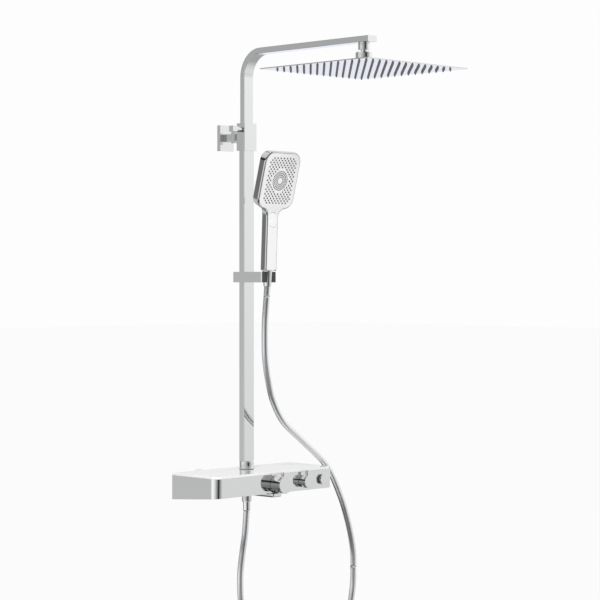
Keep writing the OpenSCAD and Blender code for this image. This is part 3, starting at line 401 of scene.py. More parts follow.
def plated(name, colour, gloss, wave):
    """Bright plate: its roughness drifts a little, and its face waves by a few microns."""
    material, graph = new_material(name)
    drift = speckle(graph, scale=38.0, detail=3.0)
    sweep = speckle(graph, scale=9.0, detail=1.0)
    shader = graph.wire("ShaderNodeBsdfPrincipled", None, {
        "Base Color": rgba(colour),
        "Metallic": 1.0,
        "Roughness": gloss + drift * (gloss * 0.9),
        "Normal": bump(graph, sweep, wave),
    })
    close_material(graph, shader)
    return material


def glossy_plastic(name, colour, gloss, coat):
    """Moulded plastic: a very fine grain in its gloss and a faint drift of its tint, under a clear
    skin."""
    material, graph = new_material(name)
    grain = speckle(graph, scale=900.0, detail=3.0)
    tint = speckle(graph, scale=22.0)
    shader = graph.wire("ShaderNodeBsdfPrincipled", None, {
        "Base Color": mixed(graph, tint * 0.12, rgba(colour), shaded(colour, 0.93)),
        "Roughness": gloss + grain * 0.05,
        "Specular IOR Level": 0.35,
        "Coat Weight": coat,
        "Coat Roughness": 0.05,
    })
    close_material(graph, shader)
    return material


def matt(name, colour, roughness, grain_scale, metallic=0.0):
    """Cast, moulded or rubbery surface with a visible fine grain."""
    material, graph = new_material(name)
    grain = speckle(graph, grain_scale, detail=4.0)
    shader = graph.wire("ShaderNodeBsdfPrincipled", None, {
        "Base Color": mixed(graph, grain, shaded(colour, 0.88), shaded(colour, 1.10)),
        "Metallic": metallic,
        "Roughness": roughness + grain * 0.12,
        "Normal": bump(graph, grain, 0.00003),
    })
    close_material(graph, shader)
    return material


def hose_silver(name, colour):
    """Smooth silver hose: a faint winding shows under a clear skin, along the hose's own UV."""
    material, graph = new_material(name)
    place = graph.wire("ShaderNodeTexCoord", output="UV")
    parts = graph.node("ShaderNodeSeparateXYZ", None, {0: place})
    along = Wire(graph, parts.outputs[1])
    around = Wire(graph, parts.outputs[0])
    winding = graph.wire("ShaderNodeMath", {"operation": "SINE"},
                         {0: (along * HOSE_TURNS + around) * math.tau})
    shader = graph.wire("ShaderNodeBsdfPrincipled", None, {
        "Base Color": mixed(graph, winding * 0.5 + 0.5, shaded(colour, 0.96), rgba(colour)),
        "Metallic": 1.0,
        "Roughness": 0.27 + speckle(graph, scale=60.0) * 0.04,
        "Normal": bump(graph, winding, 0.000003),
    })
    close_material(graph, shader)
    return material


# ---- Surfaces ----

def grid_quads(rows, columns):
    """Quads of a grid that closes on itself along its columns: each point with its neighbours."""
    row, column = np.meshgrid(np.arange(rows - 1), np.arange(columns), indexing="ij")
    after = (column + 1) % columns
    corners = [row * columns + column, row * columns + after,
               (row + 1) * columns + after, (row + 1) * columns + column]
    return np.stack(corners, axis=-1).reshape(-1, 4)


def piece_from(name, points, faces, material, smooth=True):
    """A mesh object at the origin from an array of points and a list of faces."""
    mesh = bpy.data.meshes.new(name)
    mesh.from_pydata(np.asarray(points, float).reshape(-1, 3), [], faces)
    mesh.validate()
    mesh.polygons.foreach_set("use_smooth", np.full(len(mesh.polygons), smooth))
    mesh.materials.append(material)
    made = bpy.data.objects.new(name, mesh)
    bpy.context.scene.collection.objects.link(made)
    return made


def unit(vectors):
    """Each vector divided by its own length."""
    return vectors / np.linalg.norm(vectors, axis=-1, keepdims=True)


def route_line(route, first, last, steps):
    """Points on a cubic that passes through the route's points, each with the slope from the point
    before to the point after it."""
    points = np.asarray(route, float)
    ends = np.vstack([points[:1], points, points[-1:]])
    slope = (ends[2:] - ends[:-2]) / 2
    t = np.arange(steps)[None, :, None] / steps
    a, b = points[first:last, None], points[first + 1:last + 1, None]
    sa, sb = slope[first:last, None], slope[first + 1:last + 1, None]
    line = ((2 * t ** 3 - 3 * t ** 2 + 1) * a + (t ** 3 - 2 * t ** 2 + t) * sa
            + (3 * t ** 2 - 2 * t ** 3) * b + (t ** 3 - t ** 2) * sb)
    return np.vstack([line.reshape(-1, 3), points[last:last + 1]])


def tube_piece(name, line, along, radius, sides, material):
    """A circle carried along a line: each ring lies across the slope there, turned from the Y axis, and
    a flat fan closes each end. Its UV is the turn round the tube and the distance along it in metres."""
    across = unit(np.cross(along, [0.0, 1.0, 0.0]))
    upward = np.cross(along, across)
    turn = np.arange(sides) * math.tau / sides
    rings = (line[:, None] + radius * (np.cos(turn)[None, :, None] * across[:, None]
                                       + np.sin(turn)[None, :, None] * upward[:, None]))
    count = len(line)
    points = np.vstack([rings.reshape(-1, 3), line[:1], line[-1:]])
    quads = grid_quads(count, sides).tolist()
    ring = np.arange(sides)
    after = (ring + 1) % sides
    low = np.stack([np.full(sides, count * sides), after, ring], axis=1).tolist()
    top = (count - 1) * sides
    high = np.stack([np.full(sides, count * sides + 1), top + ring, top + after], axis=1).tolist()
    made = piece_from(name, points, quads + low + high, material)
    made.data.polygons.foreach_set("use_smooth", np.arange(len(made.data.polygons)) < len(quads))
    closed(made)
    distance = np.append(0.0, np.cumsum(np.linalg.norm(np.diff(line, axis=0), axis=1)))
    place = np.vstack([
        np.stack(np.meshgrid(turn / math.tau, distance), axis=-1).reshape(-1, 2),
        [[0.0, 0.0], [0.0, distance[-1]]],
    ])
    corner = np.zeros(len(made.data.loops), np.int32)
    made.data.loops.foreach_get("vertex_index", corner)
    layer = made.data.uv_layers.new(name="Along")
    layer.data.foreach_set("uv", place[corner].ravel())
    return made


def turned_piece(name, centre, profile, material, sides):
    """A profile of (radius, height) points turned once round an upright axis through the centre: each
    point's ring is (radius cos a, radius sin a, height). The first and last may lie on the axis."""
    profile = np.asarray(profile, float)
    turn = np.arange(sides) * math.tau / sides
    radius, height = profile[:, :1], profile[:, 1:]
    ring = [radius * np.cos(turn), radius * np.sin(turn), height + 0 * turn]
    points = np.stack(ring, axis=-1) + np.asarray(centre, float)
    made = piece_from(name, points, grid_quads(len(profile), sides).tolist(), material)
    closed(made)
    weighted(made)
    return made


def closed(piece):
    """Merges a surface's doubled points and turns its faces outwards."""
    work = bmesh.new()
    work.from_mesh(piece.data)
    bmesh.ops.remove_doubles(work, verts=work.verts, dist=1e-7)
    bmesh.ops.recalc_face_normals(work, faces=work.faces)
    work.to_mesh(piece.data)
    work.free()


def rounded_profile(corners, rounds, steps=5):
    """A line through corners in a plane whose corners are rounded: each corner is replaced by a
    quadratic curve that starts and ends its own round's length from it."""
    corners = np.asarray(corners, float)
    t = np.linspace(0, 1, steps)[:, None]
    line = [corners[:1]]
    for before, corner, after, reach in zip(corners[:-2], corners[1:-1], corners[2:], rounds):
        start = corner + unit(before - corner) * reach
        end = corner + unit(after - corner) * reach
        line.append((1 - t) ** 2 * start + 2 * t * (1 - t) * corner + t ** 2 * end)
    line.append(corners[-1:])
    return np.vstack(line)


def arc_points(centre, radius, start, end, steps):
    """Points on a circle from one angle to another, in degrees."""
    turn = np.radians(np.linspace(start, end, steps))
    return np.column_stack([centre[0] + radius * np.cos(turn), centre[1] + radius * np.sin(turn)])


class HandsetForm:
    """The hand shower's front outline and the line of its face seen from the side."""

    # Radius of the handle's small foot corner, how far the face's line runs on above the bezel, where
    # below the head's foot the shell starts to grow deeper, and over what height it does
    FOOT_ROUND = 0.002
    OVER_TOP = 0.003
    GROW_BELOW = 0.02
    GROW_OVER = 0.04
    # What shapes the bend: the pull up from the knee, the pull back from the head's foot, and how far
    # up the head the bend ends
    KNEE_PULL = (-0.0004, 0.008)
    HEAD_PULL = 0.001
    BEND_OVER = 0.008

    def __init__(self, sizes, face_y, foot_z):
        self.sizes = sizes
        lean = sizes.lean
        upward = np.array([-math.sin(lean), math.cos(lean)])
        middle = np.array([face_y - sizes.head_forward, foot_z + sizes.head_rise])
        top = middle + upward * sizes.head_length / 2
        low = middle - upward * sizes.head_length / 2
        knee = np.array([face_y - sizes.handle_lean, foot_z + sizes.handle_straight])
        t = np.linspace(0, 1, 24)[:, None]
        bend = ((1 - t) ** 3 * knee + 3 * t * (1 - t) ** 2 * (knee + self.KNEE_PULL)
                + 3 * t ** 2 * (1 - t) * (low - upward * self.HEAD_PULL)
                + t ** 3 * (low + upward * self.BEND_OVER))
        line = np.vstack([[face_y, foot_z], bend, top + upward * (sizes.bezel + self.OVER_TOP)])
        step = np.diff(line, axis=0)
        self.line = line
        self.mid_z = (line[1:, 1] + line[:-1, 1]) / 2
        self.lean = np.arctan2(-step[:, 0], step[:, 1])
        self.top_z, self.low_z, self.foot_z = top[1], low[1], foot_z

    def half_outline(self, grow):
        """Right half from top to foot: the head's two round corners, the hollow neck, the straight
        handle and its small foot corner. Growing adds to the round corners and takes from the hollow
        one."""
        sizes = self.sizes
        corner_x = sizes.head_width / 2 - sizes.head_corner
        half = sizes.handle_width / 2
        neck_x = half + sizes.neck_radius
        side = max(0.0, neck_x - corner_x)
        drop = math.sqrt((sizes.head_corner + sizes.neck_radius) ** 2 - side ** 2)
        turn = math.degrees(math.atan2(drop, side))
        low_z = self.low_z + sizes.head_corner
        neck_z = low_z - drop
        foot = self.FOOT_ROUND
        radius = sizes.head_corner + grow
        straight = np.linspace(neck_z, self.foot_z + 3 * foot, 11)[1:]
        # Each arc's last number is its count of points
        return np.vstack([
            arc_points((corner_x, self.top_z - sizes.head_corner), radius, 90, 0, 16),
            arc_points((corner_x, low_z), radius, 0, -turn, 20),
            arc_points((neck_x, neck_z), sizes.neck_radius - grow, 180 - turn, 180, 18)[1:],
            np.column_stack([np.full(len(straight), half + grow), straight]),
            arc_points((half + grow - foot, self.foot_z + foot), foot, 0, -90, 5),
        ])

    def behind(self, outline, depth):
        """The outline laid on the face and moved back across it by a depth, which grows by a smooth
        step from the handle to the head."""
        x, z = outline.T
        step = np.clip((z - self.low_z + self.GROW_BELOW) / self.GROW_OVER, 0, 1)
        depth = depth * (1 + self.sizes.head_extra / self.sizes.depth * step ** 2 * (3 - 2 * step))
        lean = np.interp(z, self.mid_z, self.lean)
        y = np.interp(z, self.line[:, 1], self.line[:, 0])
        return np.column_stack([x, y + depth * np.cos(lean), z + depth * np.sin(lean)])

    def loft(self, name, section, material):
        """Rings of the outline, one for each (depth, growth) of a section. Strips from side to side
        close the first and the last ring."""
        halves = [self.half_outline(grow) for _, grow in section]
        count = len(halves[0])
        rings = [self.behind(np.vstack([half, half[::-1] * [-1, 1]]), depth)
                 for half, (depth, _) in zip(halves, section)]
        columns = 2 * count
        row = np.arange(count - 1)
        strips = np.column_stack([row, row + 1, columns - 2 - row, columns - 1 - row])
        faces = np.vstack([grid_quads(len(rings), columns), strips, strips + (len(rings) - 1) * columns])
        made = piece_from(name, np.vstack(rings), faces.tolist(), material)
        closed(made)
        weighted(made, sharp=34.0)
        return made


def plan_outline(low, high, front_radius, back_radius, inset, steps=14):
    """A rectangle seen from above, drawn in by an inset: a quarter circle of its own radius at each
    corner, and straight between them."""
    corners = [(high[0], high[1], back_radius, 0), (low[0], high[1], back_radius, 1),
               (low[0], low[1], front_radius, 2), (high[0], low[1], front_radius, 3)]
    parts = []
    for x, y, radius, quarter in corners:
        turn = (quarter + np.linspace(0, 1, steps)) * math.pi / 2
        centre = np.array([x - np.sign(math.cos((quarter + 0.5) * math.pi / 2)) * radius,
                           y - np.sign(math.sin((quarter + 0.5) * math.pi / 2)) * radius])
        parts.append(centre + max(radius - inset, 1e-5) * np.stack([np.cos(turn), np.sin(turn)], axis=1))
    return np.vstack(parts)


def slab_piece(name, low, high, radii, rolls, material):
    """A plan with a front and a back corner radius, carried up a profile: a quarter circle out from the
    flat bottom, straight up the side, then a quarter circle over to the flat top. One face closes
    each."""
    under, over = rolls
    turn = np.linspace(0, math.pi / 2, 8)
    insets = np.append(under * (1 - np.sin(turn)), over * (1 - np.cos(turn)))
    heights = np.append(low[2] + under * (1 - np.cos(turn)), high[2] - over * (1 - np.sin(turn)))
    rings = []
    for inset, height in zip(insets, heights):
        outline = plan_outline(low, high, *radii, inset)
        rings.append(np.column_stack([outline, np.full(len(outline), height)]))
    columns = len(rings[0])
    faces = grid_quads(len(rings), columns).tolist()
    faces.append(list(range(columns))[::-1])
    faces.append(list(range((len(rings) - 1) * columns, len(rings) * columns)))
    made = piece_from(name, np.vstack(rings), faces, material)
    closed(made)
    weighted(made)
    return made


# Points round a knob for each hollow, turn in radians that the hollow's swell has made at the front rim
# (half a sine would be pi), and the step between a knob's back face and its side
HOLLOW_POINTS = 48
HOLLOW_SWELL = 2.85
KNOB_BACK_STEP = 0.0003


def knob_piece(name, place, radius, back, front, settings, material):
    """A knob along Y. Its radius is its own, less a hollow: the hollow's depth swells as half a sine
    along the knob and is nearly gone at the front rim, and falls away from the hollow's middle with the
    square of the distance round the knob. A small round edge leads over to the flat front."""
    count = settings.hollows
    columns = count * HOLLOW_POINTS
    turn = np.arange(columns) * math.tau / columns
    off_middle = (turn * count / math.tau) % 1.0 - 0.5
    distance = off_middle * math.tau / count * radius
    share = np.linspace(0, 1, 26)
    start = settings.hollow_start
    growth = np.sin(np.clip((share - start) / (1 - start), 0, 1) * HOLLOW_SWELL)
    across = distance ** 2 * (1 / radius + 1 / settings.hollow_round) / 2
    hollow = np.clip(settings.hollow_depth * growth[:, None] - across, 0, None)
    edge = settings.knob_edge
    around = np.linspace(0, math.pi / 2, 5)[1:, None]
    reach = np.vstack([np.full((1, columns), radius - edge / 2), radius - hollow,
                       radius - hollow[-1:] - edge * (1 - np.cos(around))])
    side = back - KNOB_BACK_STEP + share * (front + edge - back + KNOB_BACK_STEP)
    depth = np.concatenate([[back], side, front + edge * (1 - np.sin(around[:, 0]))])[:, None]
    points = np.stack([place[0] + reach * np.cos(turn), depth + 0 * reach,
                       place[1] + reach * np.sin(turn)], axis=-1)
    faces = grid_quads(len(points), columns).tolist()
    faces.append(list(range(columns)))
    faces.append(list(range((len(points) - 1) * columns, len(points) * columns))[::-1])
    made = piece_from(name, points, faces, material)
    closed(made)
    weighted(made, sharp=44.0)
    return made


def softened(node, width, material, segments=3, angle=32.0):
    """A welded copy of a CAD node with its sharp edges rounded, which stands for it. Broad faces keep
    their own flat normals, and the rounded strips between them take up the turn."""
    source = frame["nodes"][node]
    work = bmesh.new()
    work.from_mesh(source.data)
    bmesh.ops.remove_doubles(work, verts=work.verts, dist=1e-6)
    bmesh.ops.dissolve_limit(work, angle_limit=math.radians(0.4), verts=work.verts, edges=work.edges)
    plain = bpy.data.meshes.new(node + "_welded")
    work.to_mesh(plain)
    work.free()
    name = node + "_finish"
    made = bpy.data.objects.new(name, plain)
    bpy.context.scene.collection.objects.link(made)
    bevel = made.modifiers.new("Edges", "BEVEL")
    bevel.width = width
    bevel.segments = segments
    bevel.limit_method = "ANGLE"
    bevel.angle_limit = math.radians(angle)
    made.data = evaluated_mesh(made, name)
    made.modifiers.clear()
    bpy.data.meshes.remove(plain)
    made.data.materials.append(material)
    weighted(made)
    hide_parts(node)
    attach(made, source["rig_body"])
    return made


def evaluated_mesh(piece, name):
    """The piece's mesh with its modifiers applied, as a mesh of its own."""
    graph = bpy.context.evaluated_depsgraph_get()
    mesh = bpy.data.meshes.new_from_object(piece.evaluated_get(graph), depsgraph=graph)
    mesh.name = name
    return mesh


def weighted(piece, sharp=38.0):
    """Smooth shading that follows the broad faces and breaks at the edges that are still sharp."""
    piece.data.polygons.foreach_set("use_smooth", np.full(len(piece.data.polygons), True))
    piece.data.set_sharp_from_angle(angle=math.radians(sharp))
    shading = piece.modifiers.new("Shading", "WEIGHTED_NORMAL")
    shading.weight = 90
    shading.keep_sharp = True


def finish_of(name):
    """A material that the hose step or the finishes step made."""
    return bpy.data.materials[name]


def stand_in(piece, node, body):
    """Lets a new piece stand for a CAD node and its body."""
    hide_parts(node)
    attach(piece, body)


# ---- Operators ----

class SHOWER_OT_stage(bpy.types.Operator):
    """Makes the camera, the soft studio light and the pale floor"""

    bl_idname = "shower.stage"
    bl_label = "Stage"

    def execute(self, context):
        stage = context.scene.shower.stage
        self.camera(context, stage)
        self.studio(context, stage)
        self.lamp(context, stage)
        self.floor(stage)
        context.scene.view_settings.view_transform = "Standard"
        return {"FINISHED"}

    @staticmethod
    def camera(context, stage):
        """A level camera with a shifted picture."""
        data = bpy.data.cameras.new("camera")
        data.sensor_width = 36.0
        data.lens = stage.lens
        data.shift_y = stage.shift
        made = bpy.data.objects.new("camera", data)
        made.location = stage.camera_place
        made.rotation_euler = (math.pi / 2, 0.0, -stage.camera_heading)
        context.scene.collection.objects.link(made)
        context.scene.camera = made

    @staticmethod
    def studio(context, stage):
        """An even white room for the eye and for matt surfaces. Bright ones show its cards and flags: a
        ring of them stands round the object by compass angle. Above and below it, dark strips and grey
        cards stand to the west, and pale ones, lavender near the floor, to the east."""
        world = bpy.data.worlds.new("studio")
        world.use_nodes = True
        world.cycles.sampling_method = "NONE"
        context.scene.world = world
        graph = Graph(world.node_tree)
        place = graph.wire("ShaderNodeTexCoord", output="Generated")
        parts = graph.node("ShaderNodeSeparateXYZ", None, {0: place})
        east, north, height = (Wire(graph, parts.outputs[axis]) for axis in range(3))
        compass = graph.wire("ShaderNodeMath", {"operation": "ARCTAN2"}, {0: east, 1: north})
        ring = grey_ramp(graph, compass / math.tau + 0.5,
                         [((angle + 180) / 360, grey) for angle, grey in RING_CARDS])
        tilt = 1 + east * height * RING_TILT
        tilts = graph.wire("ShaderNodeCombineXYZ", None, {0: tilt, 1: tilt, 2: tilt})
        ring = mixed(graph, 1.0, ring, tilts, blend="MULTIPLY")
        lavender = (smooth_range(graph, east, RING_LAVENDER[0])
                    * smooth_range(graph, north, RING_LAVENDER[1])
                    * smooth_range(graph, height, RING_LAVENDER[2]))
        ring = mixed(graph, lavender, ring, LAVENDER)
        south, back = (grey_ramp(graph, height * 0.5 + 0.5, [
            (math.sin(math.radians(angle)) / 2 + 0.5, grey) for angle, grey in bands
        ]) for bands in (SOUTH_BANDS, NORTH_BANDS))
        west = mixed(graph, smooth_range(graph, north, SOUTH_TO_NORTH), south, back)
        side = mixed(graph, smooth_range(graph, north, SIDE_TO_SOUTH), SIDE_GREY, SIDE_PALE)
        floor_card = (smooth_range(graph, height, FLOOR_CARD[0])
                      * smooth_range(graph, north, FLOOR_CARD[1]))
        low = mixed(graph, floor_card, side, LAVENDER)
        eastern = mixed(graph, smooth_range(graph, height, LOW_TO_HIGH), low, WHITE)
        beyond = mixed(graph, smooth_range(graph, east, WEST_TO_EAST), west, eastern)
        towards = graph.wire("ShaderNodeVectorMath", {"operation": "DOT_PRODUCT"},
                             {0: place, 1: LOW_FLAG}, output="Value")
        beyond = mixed(graph, smooth_range(graph, towards, FLAG_EDGE), beyond, FLAG_GREY)
        away = graph.wire("ShaderNodeMath", {"operation": "ABSOLUTE"}, {0: height})
        room = mixed(graph, smooth_range(graph, away, RING_EDGE), ring, beyond)
        rays = graph.node("ShaderNodeLightPath")
        camera_ray = Wire(graph, rays.outputs["Is Camera Ray"])
        glossy_ray = Wire(graph, rays.outputs["Is Glossy Ray"])
        plain = mixed(graph, camera_ray, rgba([stage.room_light] * 3), rgba([stage.backdrop] * 3))
        colour = mixed(graph, glossy_ray, plain, room)
        background = graph.wire("ShaderNodeBackground", None, {"Color": colour, "Strength": 1.0})
        graph.node("ShaderNodeOutputWorld", None, {"Surface": background})

    @staticmethod
    def lamp(context, stage):
        """One large soft lamp at the upper left in front, which mirrors don't show."""
        data = bpy.data.lights.new("key", "AREA")
        data.shape = "DISK"
        data.size = KEY_SIZE
        data.energy = stage.key_power
        lamp = bpy.data.objects.new("key", data)
        lamp.location = KEY_PLACE
        lamp.rotation_euler = [math.radians(turn) for turn in KEY_TURNS]
        lamp.visible_glossy = False
        context.scene.collection.objects.link(lamp)

    @staticmethod
    def floor(stage):
        """A flat square, as bright to the eye as the room, that keeps the object's shadow."""
        material, graph = new_material("pale_floor")
        rays = graph.node("ShaderNodeLightPath")
        seen = Wire(graph, rays.outputs["Is Camera Ray"])
        shade = graph.wire("ShaderNodeBsdfDiffuse", None, {"Color": FLOOR_GREY})
        glow = graph.wire("ShaderNodeEmission", None,
                          {"Color": WHITE, "Strength": stage.backdrop * FLOOR_GLOW})
        close_material(graph, graph.wire("ShaderNodeMixShader", None,
                                         {0: seen * FLOOR_GLOW_SHARE, 1: shade, 2: glow}))
        half = FLOOR_HALF
        corners = [(-half, -half), (half, -half), (half, half), (-half, half)]
        made = piece_from("floor", [(x, y, stage.floor_drop) for x, y in corners], [(0, 1, 2, 3)],
                          material, smooth=False)
        made.visible_glossy = False


class SHOWER_OT_hose(bpy.types.Operator):
    """Makes the hose as three lengths that meet: one that stays with the mixer, one that rises to the
    hand shower, and a short end under the hand shower"""

    bl_idname = "shower.hose"
    bl_label = "Hose"

    def execute(self, context):
        hose = context.scene.shower.hose
        material = hose_silver("hose_finish", context.scene.shower.finish.hose)
        line = route_line(HOSE_ROUTE, 0, len(HOSE_ROUTE) - 1, hose.steps)
        along = unit(np.gradient(line, axis=0))
        split = HOSE_SPLIT * hose.steps
        tip = len(line) - 1 - round(hose.steps * HOSE_END_SHARE)
        end = self.tube(hose, material, "hose_end_tube", "hose_upper", line[tip:], along[tip:])
        upper = self.tube(hose, material, "hose_upper_tube", "hose_upper", line[split:tip + 1],
                          along[split:tip + 1])
        lower = self.tube(hose, material, "hose_lower_tube", "hose_lower", line[:split + 1],
                          along[:split + 1])
        self.declare(hose, lower, line[:split + 1], hose.lower_length, [])
        self.declare(hose, upper, line[split:tip + 1], hose.upper_length, [end])
        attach(lower, MIXER)
        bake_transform(upper)
        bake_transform(end)
        return {"FINISHED"}

    @staticmethod
    def tube(hose, material, name, node, line, along):
        """One length of the hose, which stands for a CAD node."""
        made = tube_piece(name, line, along, hose.diameter / 2, hose.sides, material)
        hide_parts(node)
        return made

    @staticmethod
    def declare(hose, made, line, real_length, ends):
        """Takes a length and the pieces that are on it, and does nothing with them."""


class SHOWER_OT_shelf(bpy.types.Operator):
    """Makes the white shelf slab with its rolled edge"""

    bl_idname = "shower.shelf"
    bl_label = "Shelf"

    def execute(self, context):
        low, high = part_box("shelf_slab")
        front_corner, back_corner = 0.017, 0.0012
        over = context.scene.shower.edges.shelf
        under = over * 0.35
        made = slab_piece("shelf_finish", low, high, (front_corner, back_corner), (under, over),
                          finish_of("white_slab_finish"))
        stand_in(made, "shelf_slab", MIXER)
        return {"FINISHED"}


class SHOWER_OT_edges(bpy.types.Operator):
    """Rounds the edges of the pieces that show"""

    bl_idname = "shower.edges"
    bl_label = "Softened edges"

    def execute(self, context):
        edges = context.scene.shower.edges
        chrome, white = finish_of("chrome_finish"), finish_of("white_face_finish")
        for node in ("mixer_casing", "holder_block", "push_button"):
            softened(node, edges.medium, chrome)
        for node in ("locking_sleeve", "bracket_bar", "bar_collar", "wall_plate", "arm_end_cap",
                     "locking_knob"):
            softened(node, edges.fine, chrome)
        softened("hand_shower_face", edges.fine, white)
        softened("spray_button", edges.medium, white)
        return {"FINISHED"}


class SHOWER_OT_knobs(bpy.types.Operator):
    """Makes the temperature knob and the diverter knob with its lever pin"""

    bl_idname = "shower.knobs"
    bl_label = "Knobs"

    def execute(self, context):
        knobs = context.scene.shower.knobs
        chrome = finish_of("chrome_finish")
        for node, size, body in (("temperature_knob", knobs.temperature, TEMPERATURE),
                                 ("diverter_knob", knobs.diverter, DIVERTER)):
            low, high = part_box(node)
            place = ((low[0] + high[0]) / 2, low[2] + size / 2)
            made = knob_piece(node + "_finish", place, size / 2, high[1], low[1], knobs, chrome)
            stand_in(made, node, body)
        # The lever stands on the diverter, the last of the two
        radius = knobs.lever / 2
        sunk, behind_front = 0.012, 0.0075
        foot_round, top_round = 0.0001, 0.0005
        foot = high[2] - sunk
        profile = rounded_profile([(0, foot), (radius, foot), (radius, high[2]), (0, high[2])],
                                  (foot_round, top_round))
        lever = turned_piece("diverter_lever", (place[0], low[1] + behind_front, 0), profile, chrome,
                             sides=48)
        stand_in(lever, "diverter_knob", DIVERTER)
        return {"FINISHED"}


class SHOWER_OT_riser_nut(bpy.types.Operator):
    """Makes the riser's nut with its rounded rims, on a dark ring that is painted shadow at its foot"""

    bl_idname = "shower.riser_nut"
    bl_label = "Riser nut"

    def execute(self, context):
        low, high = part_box("riser_nut")
        radius = (high[0] - low[0]) / 2
        centre = ((high[0] + low[0]) / 2, (high[1] + low[1]) / 2, 0)
        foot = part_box("shelf_slab")[1][2]
        # Height and inset of the dark ring under the nut, which is painted shadow for the gap at its
        # foot
        shadow_ring_height, shadow_ring_inset, bore = 0.0009, 0.0003, 0.004
        step, step_foot, step_top = 0.0008, 0.0020, 0.0014
        rounds = (0.0008, 0.0004, 0.0003, 0.0004)
        profile = rounded_profile(
            [(bore, foot + shadow_ring_height), (radius, foot + shadow_ring_height), (radius, high[2] - step_foot),
             (radius - step, high[2] - step_top), (radius - step, high[2]), (bore, high[2])], rounds)
        made = turned_piece("riser_nut_finish", centre, profile, finish_of("chrome_finish"), sides=72)
        stand_in(made, "riser_nut", MIXER)
        # The dark ring under the nut is painted shadow: it stands for the shadow gap where the nut meets
        # the shelf
        rim = radius - shadow_ring_inset
        profile = [(bore, foot), (rim, foot), (rim, foot + shadow_ring_height), (bore, foot + shadow_ring_height)]
        ring = turned_piece("riser_nut_shadow_ring", centre, profile, finish_of("dark_plastic_finish"),
                            sides=72)
        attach(ring, MIXER)
        return {"FINISHED"}


class SHOWER_OT_spout(bpy.types.Operator):
    """Makes the bath spout under the casing, with its rounded lower edges"""

    bl_idname = "shower.spout"
    bl_label = "Bath spout"

    def execute(self, context):
        knobs = context.scene.shower.knobs
        low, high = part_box("bath_spout")
        into_casing, back_corner, top_round = 0.011, 0.002, 0.0004
        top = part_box("mixer_casing")[0][2] + into_casing
        middle, half, short = knobs.spout_middle, knobs.spout_width / 2, knobs.spout_short
        made = slab_piece(
            "bath_spout_finish", (middle - half, low[1] + short, low[2]), (middle + half, high[1], top),
            (knobs.spout_round, back_corner), (knobs.spout_round, top_round), finish_of("chrome_finish"))
        stand_in(made, "bath_spout", MIXER)
        low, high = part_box("spout_aerator")
        side_wall, stands_out, corner, edge = 0.007, 0.0002, 0.0015, 0.0003
        half -= side_wall
        strip = slab_piece(
            "spout_outlet", (middle - half, low[1] + short, low[2] - stands_out),
            (middle + half, high[1] + short, high[2]), (corner, corner), (edge, edge),
            finish_of("grey_frame_finish"))
        stand_in(strip, "spout_aerator", MIXER)
        return {"FINISHED"}


class SHOWER_OT_hand_shower(bpy.types.Operator):
    """Makes the hand shower's plated shell, lofted behind its face"""

    bl_idname = "shower.hand_shower"
    bl_label = "Hand shower"

    def execute(self, context):
        sizes = context.scene.shower.handset
        face_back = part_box("hand_shower_face")[1][1]
        foot_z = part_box("hand_shower_shell")[0][2]
        face_depth = 0.003
        form = HandsetForm(sizes, face_back - face_depth, foot_z)
        bezel, depth, back = sizes.bezel, sizes.depth, sizes.back_round
        turn = np.linspace(0, math.pi / 2, 9)
        # As (depth, growth): the seat's and the lip's ring round the face, then the bezel and the back
        seat_depth, lip_depth, seat_growth = 0.0029, 0.0009, 0.0002
        rim, front = 0.0006, 0.0003
        section = np.vstack([
            [[seat_depth, seat_growth], [lip_depth, seat_growth]],
            np.column_stack([front + bezel * (1 - np.cos(turn)), rim + (bezel - rim) * np.sin(turn)]),
            np.column_stack([depth - back * (1 - np.sin(turn)),
                             bezel - sizes.back_draft - back * (1 - np.cos(turn))]),
        ])
        made = form.loft("hand_shower_shell_finish", section, finish_of("plated_shell"))
        stand_in(made, "hand_shower_shell", HAND_SHOWER)
        return {"FINISHED"}


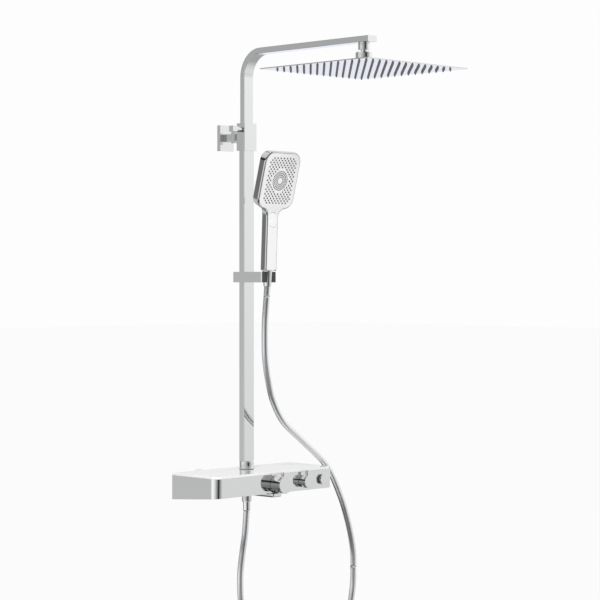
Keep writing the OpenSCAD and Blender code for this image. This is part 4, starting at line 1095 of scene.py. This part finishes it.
class SHOWER_OT_finishes(bpy.types.Operator):
    """Makes the finishes and gives one to every CAD node"""

    bl_idname = "shower.finishes"
    bl_label = "Finishes"

    def execute(self, context):
        finish = context.scene.shower.finish
        chrome = plated("chrome_finish", finish.chrome, gloss=0.012, wave=0.0000025)
        plated("plated_shell", finish.plated, gloss=0.02, wave=0.000004)
        # A matt finish's numbers are its colour, its roughness and the scale of its grain
        by_slot = {
            "chrome_plate": chrome,
            "plated_plastic": chrome,
            "mirror_plate": plated("mirror_finish", finish.polished, gloss=0.01, wave=0.000002),
            "white_shelf": glossy_plastic("white_slab_finish", finish.shelf, gloss=0.08, coat=0.08),
            "white_face": glossy_plastic("white_face_finish", finish.white, gloss=0.16, coat=0.4),
            "grey_frame": matt("grey_frame_finish", (0.10, 0.10, 0.105), 0.5, 700.0),
            "brass_body": matt("brass_finish", (0.60, 0.45, 0.22), 0.32, 260.0, metallic=1.0),
            "valve_plastic": matt("valve_finish", (0.30, 0.30, 0.31), 0.45, 600.0),
            "white_plastic": matt("white_plastic_finish", (0.80, 0.80, 0.78), 0.4, 600.0),
            "silver_hose": finish_of("hose_finish"),
            "nozzle_silicone": matt("silicone_finish", (0.24, 0.24, 0.25), 0.5, 900.0),
            "black_plastic": matt("dark_plastic_finish", (0.035, 0.035, 0.037), 0.35, 800.0),
            "spring_steel": matt("spring_finish", (0.55, 0.55, 0.56), 0.25, 500.0, metallic=1.0),
        }
        slots = {part["node"]: part["material_slot"] for part in frame["record"]["subparts"]}
        by_node = {"hand_shower_nozzles": matt("nozzle_finish", (0.09, 0.09, 0.095), 0.5, 900.0)}
        for name, made in frame["nodes"].items():
            made.data.materials.clear()
            made.data.materials.append(by_node.get(name, by_slot[slots[name]]))
        return {"FINISHED"}


class SHOWER_PT_panel(bpy.types.Panel):
    """Lists the steps that make the shower column"""

    bl_idname = "SHOWER_PT_panel"
    bl_label = "Shower column"
    bl_space_type = "VIEW_3D"
    bl_region_type = "UI"
    bl_category = "Shower"

    def draw(self, context):
        for step in STEPS:
            self.layout.operator(step.bl_idname)


STEPS = (SHOWER_OT_stage, SHOWER_OT_hose, SHOWER_OT_finishes, SHOWER_OT_shelf, SHOWER_OT_edges,
         SHOWER_OT_riser_nut, SHOWER_OT_knobs, SHOWER_OT_spout, SHOWER_OT_hand_shower)
CLASSES = (StageSettings, HoseSettings, EdgeSettings, FinishSettings, KnobSettings, HandShowerSettings,
           ShowerSettings, *STEPS, SHOWER_PT_panel)


def register():
    """Registers the classes and the settings."""
    for made in CLASSES:
        bpy.utils.register_class(made)
    bpy.types.Scene.shower = PointerProperty(type=ShowerSettings)


def unregister():
    """Takes the settings and the classes away again."""
    del bpy.types.Scene.shower
    for made in reversed(CLASSES):
        bpy.utils.unregister_class(made)


def main():
    """Makes the stage and every piece in order."""
    register()
    for step in STEPS:
        getattr(bpy.ops.shower, step.bl_idname.split(".")[1])()


if __name__ == "__main__":
    main()
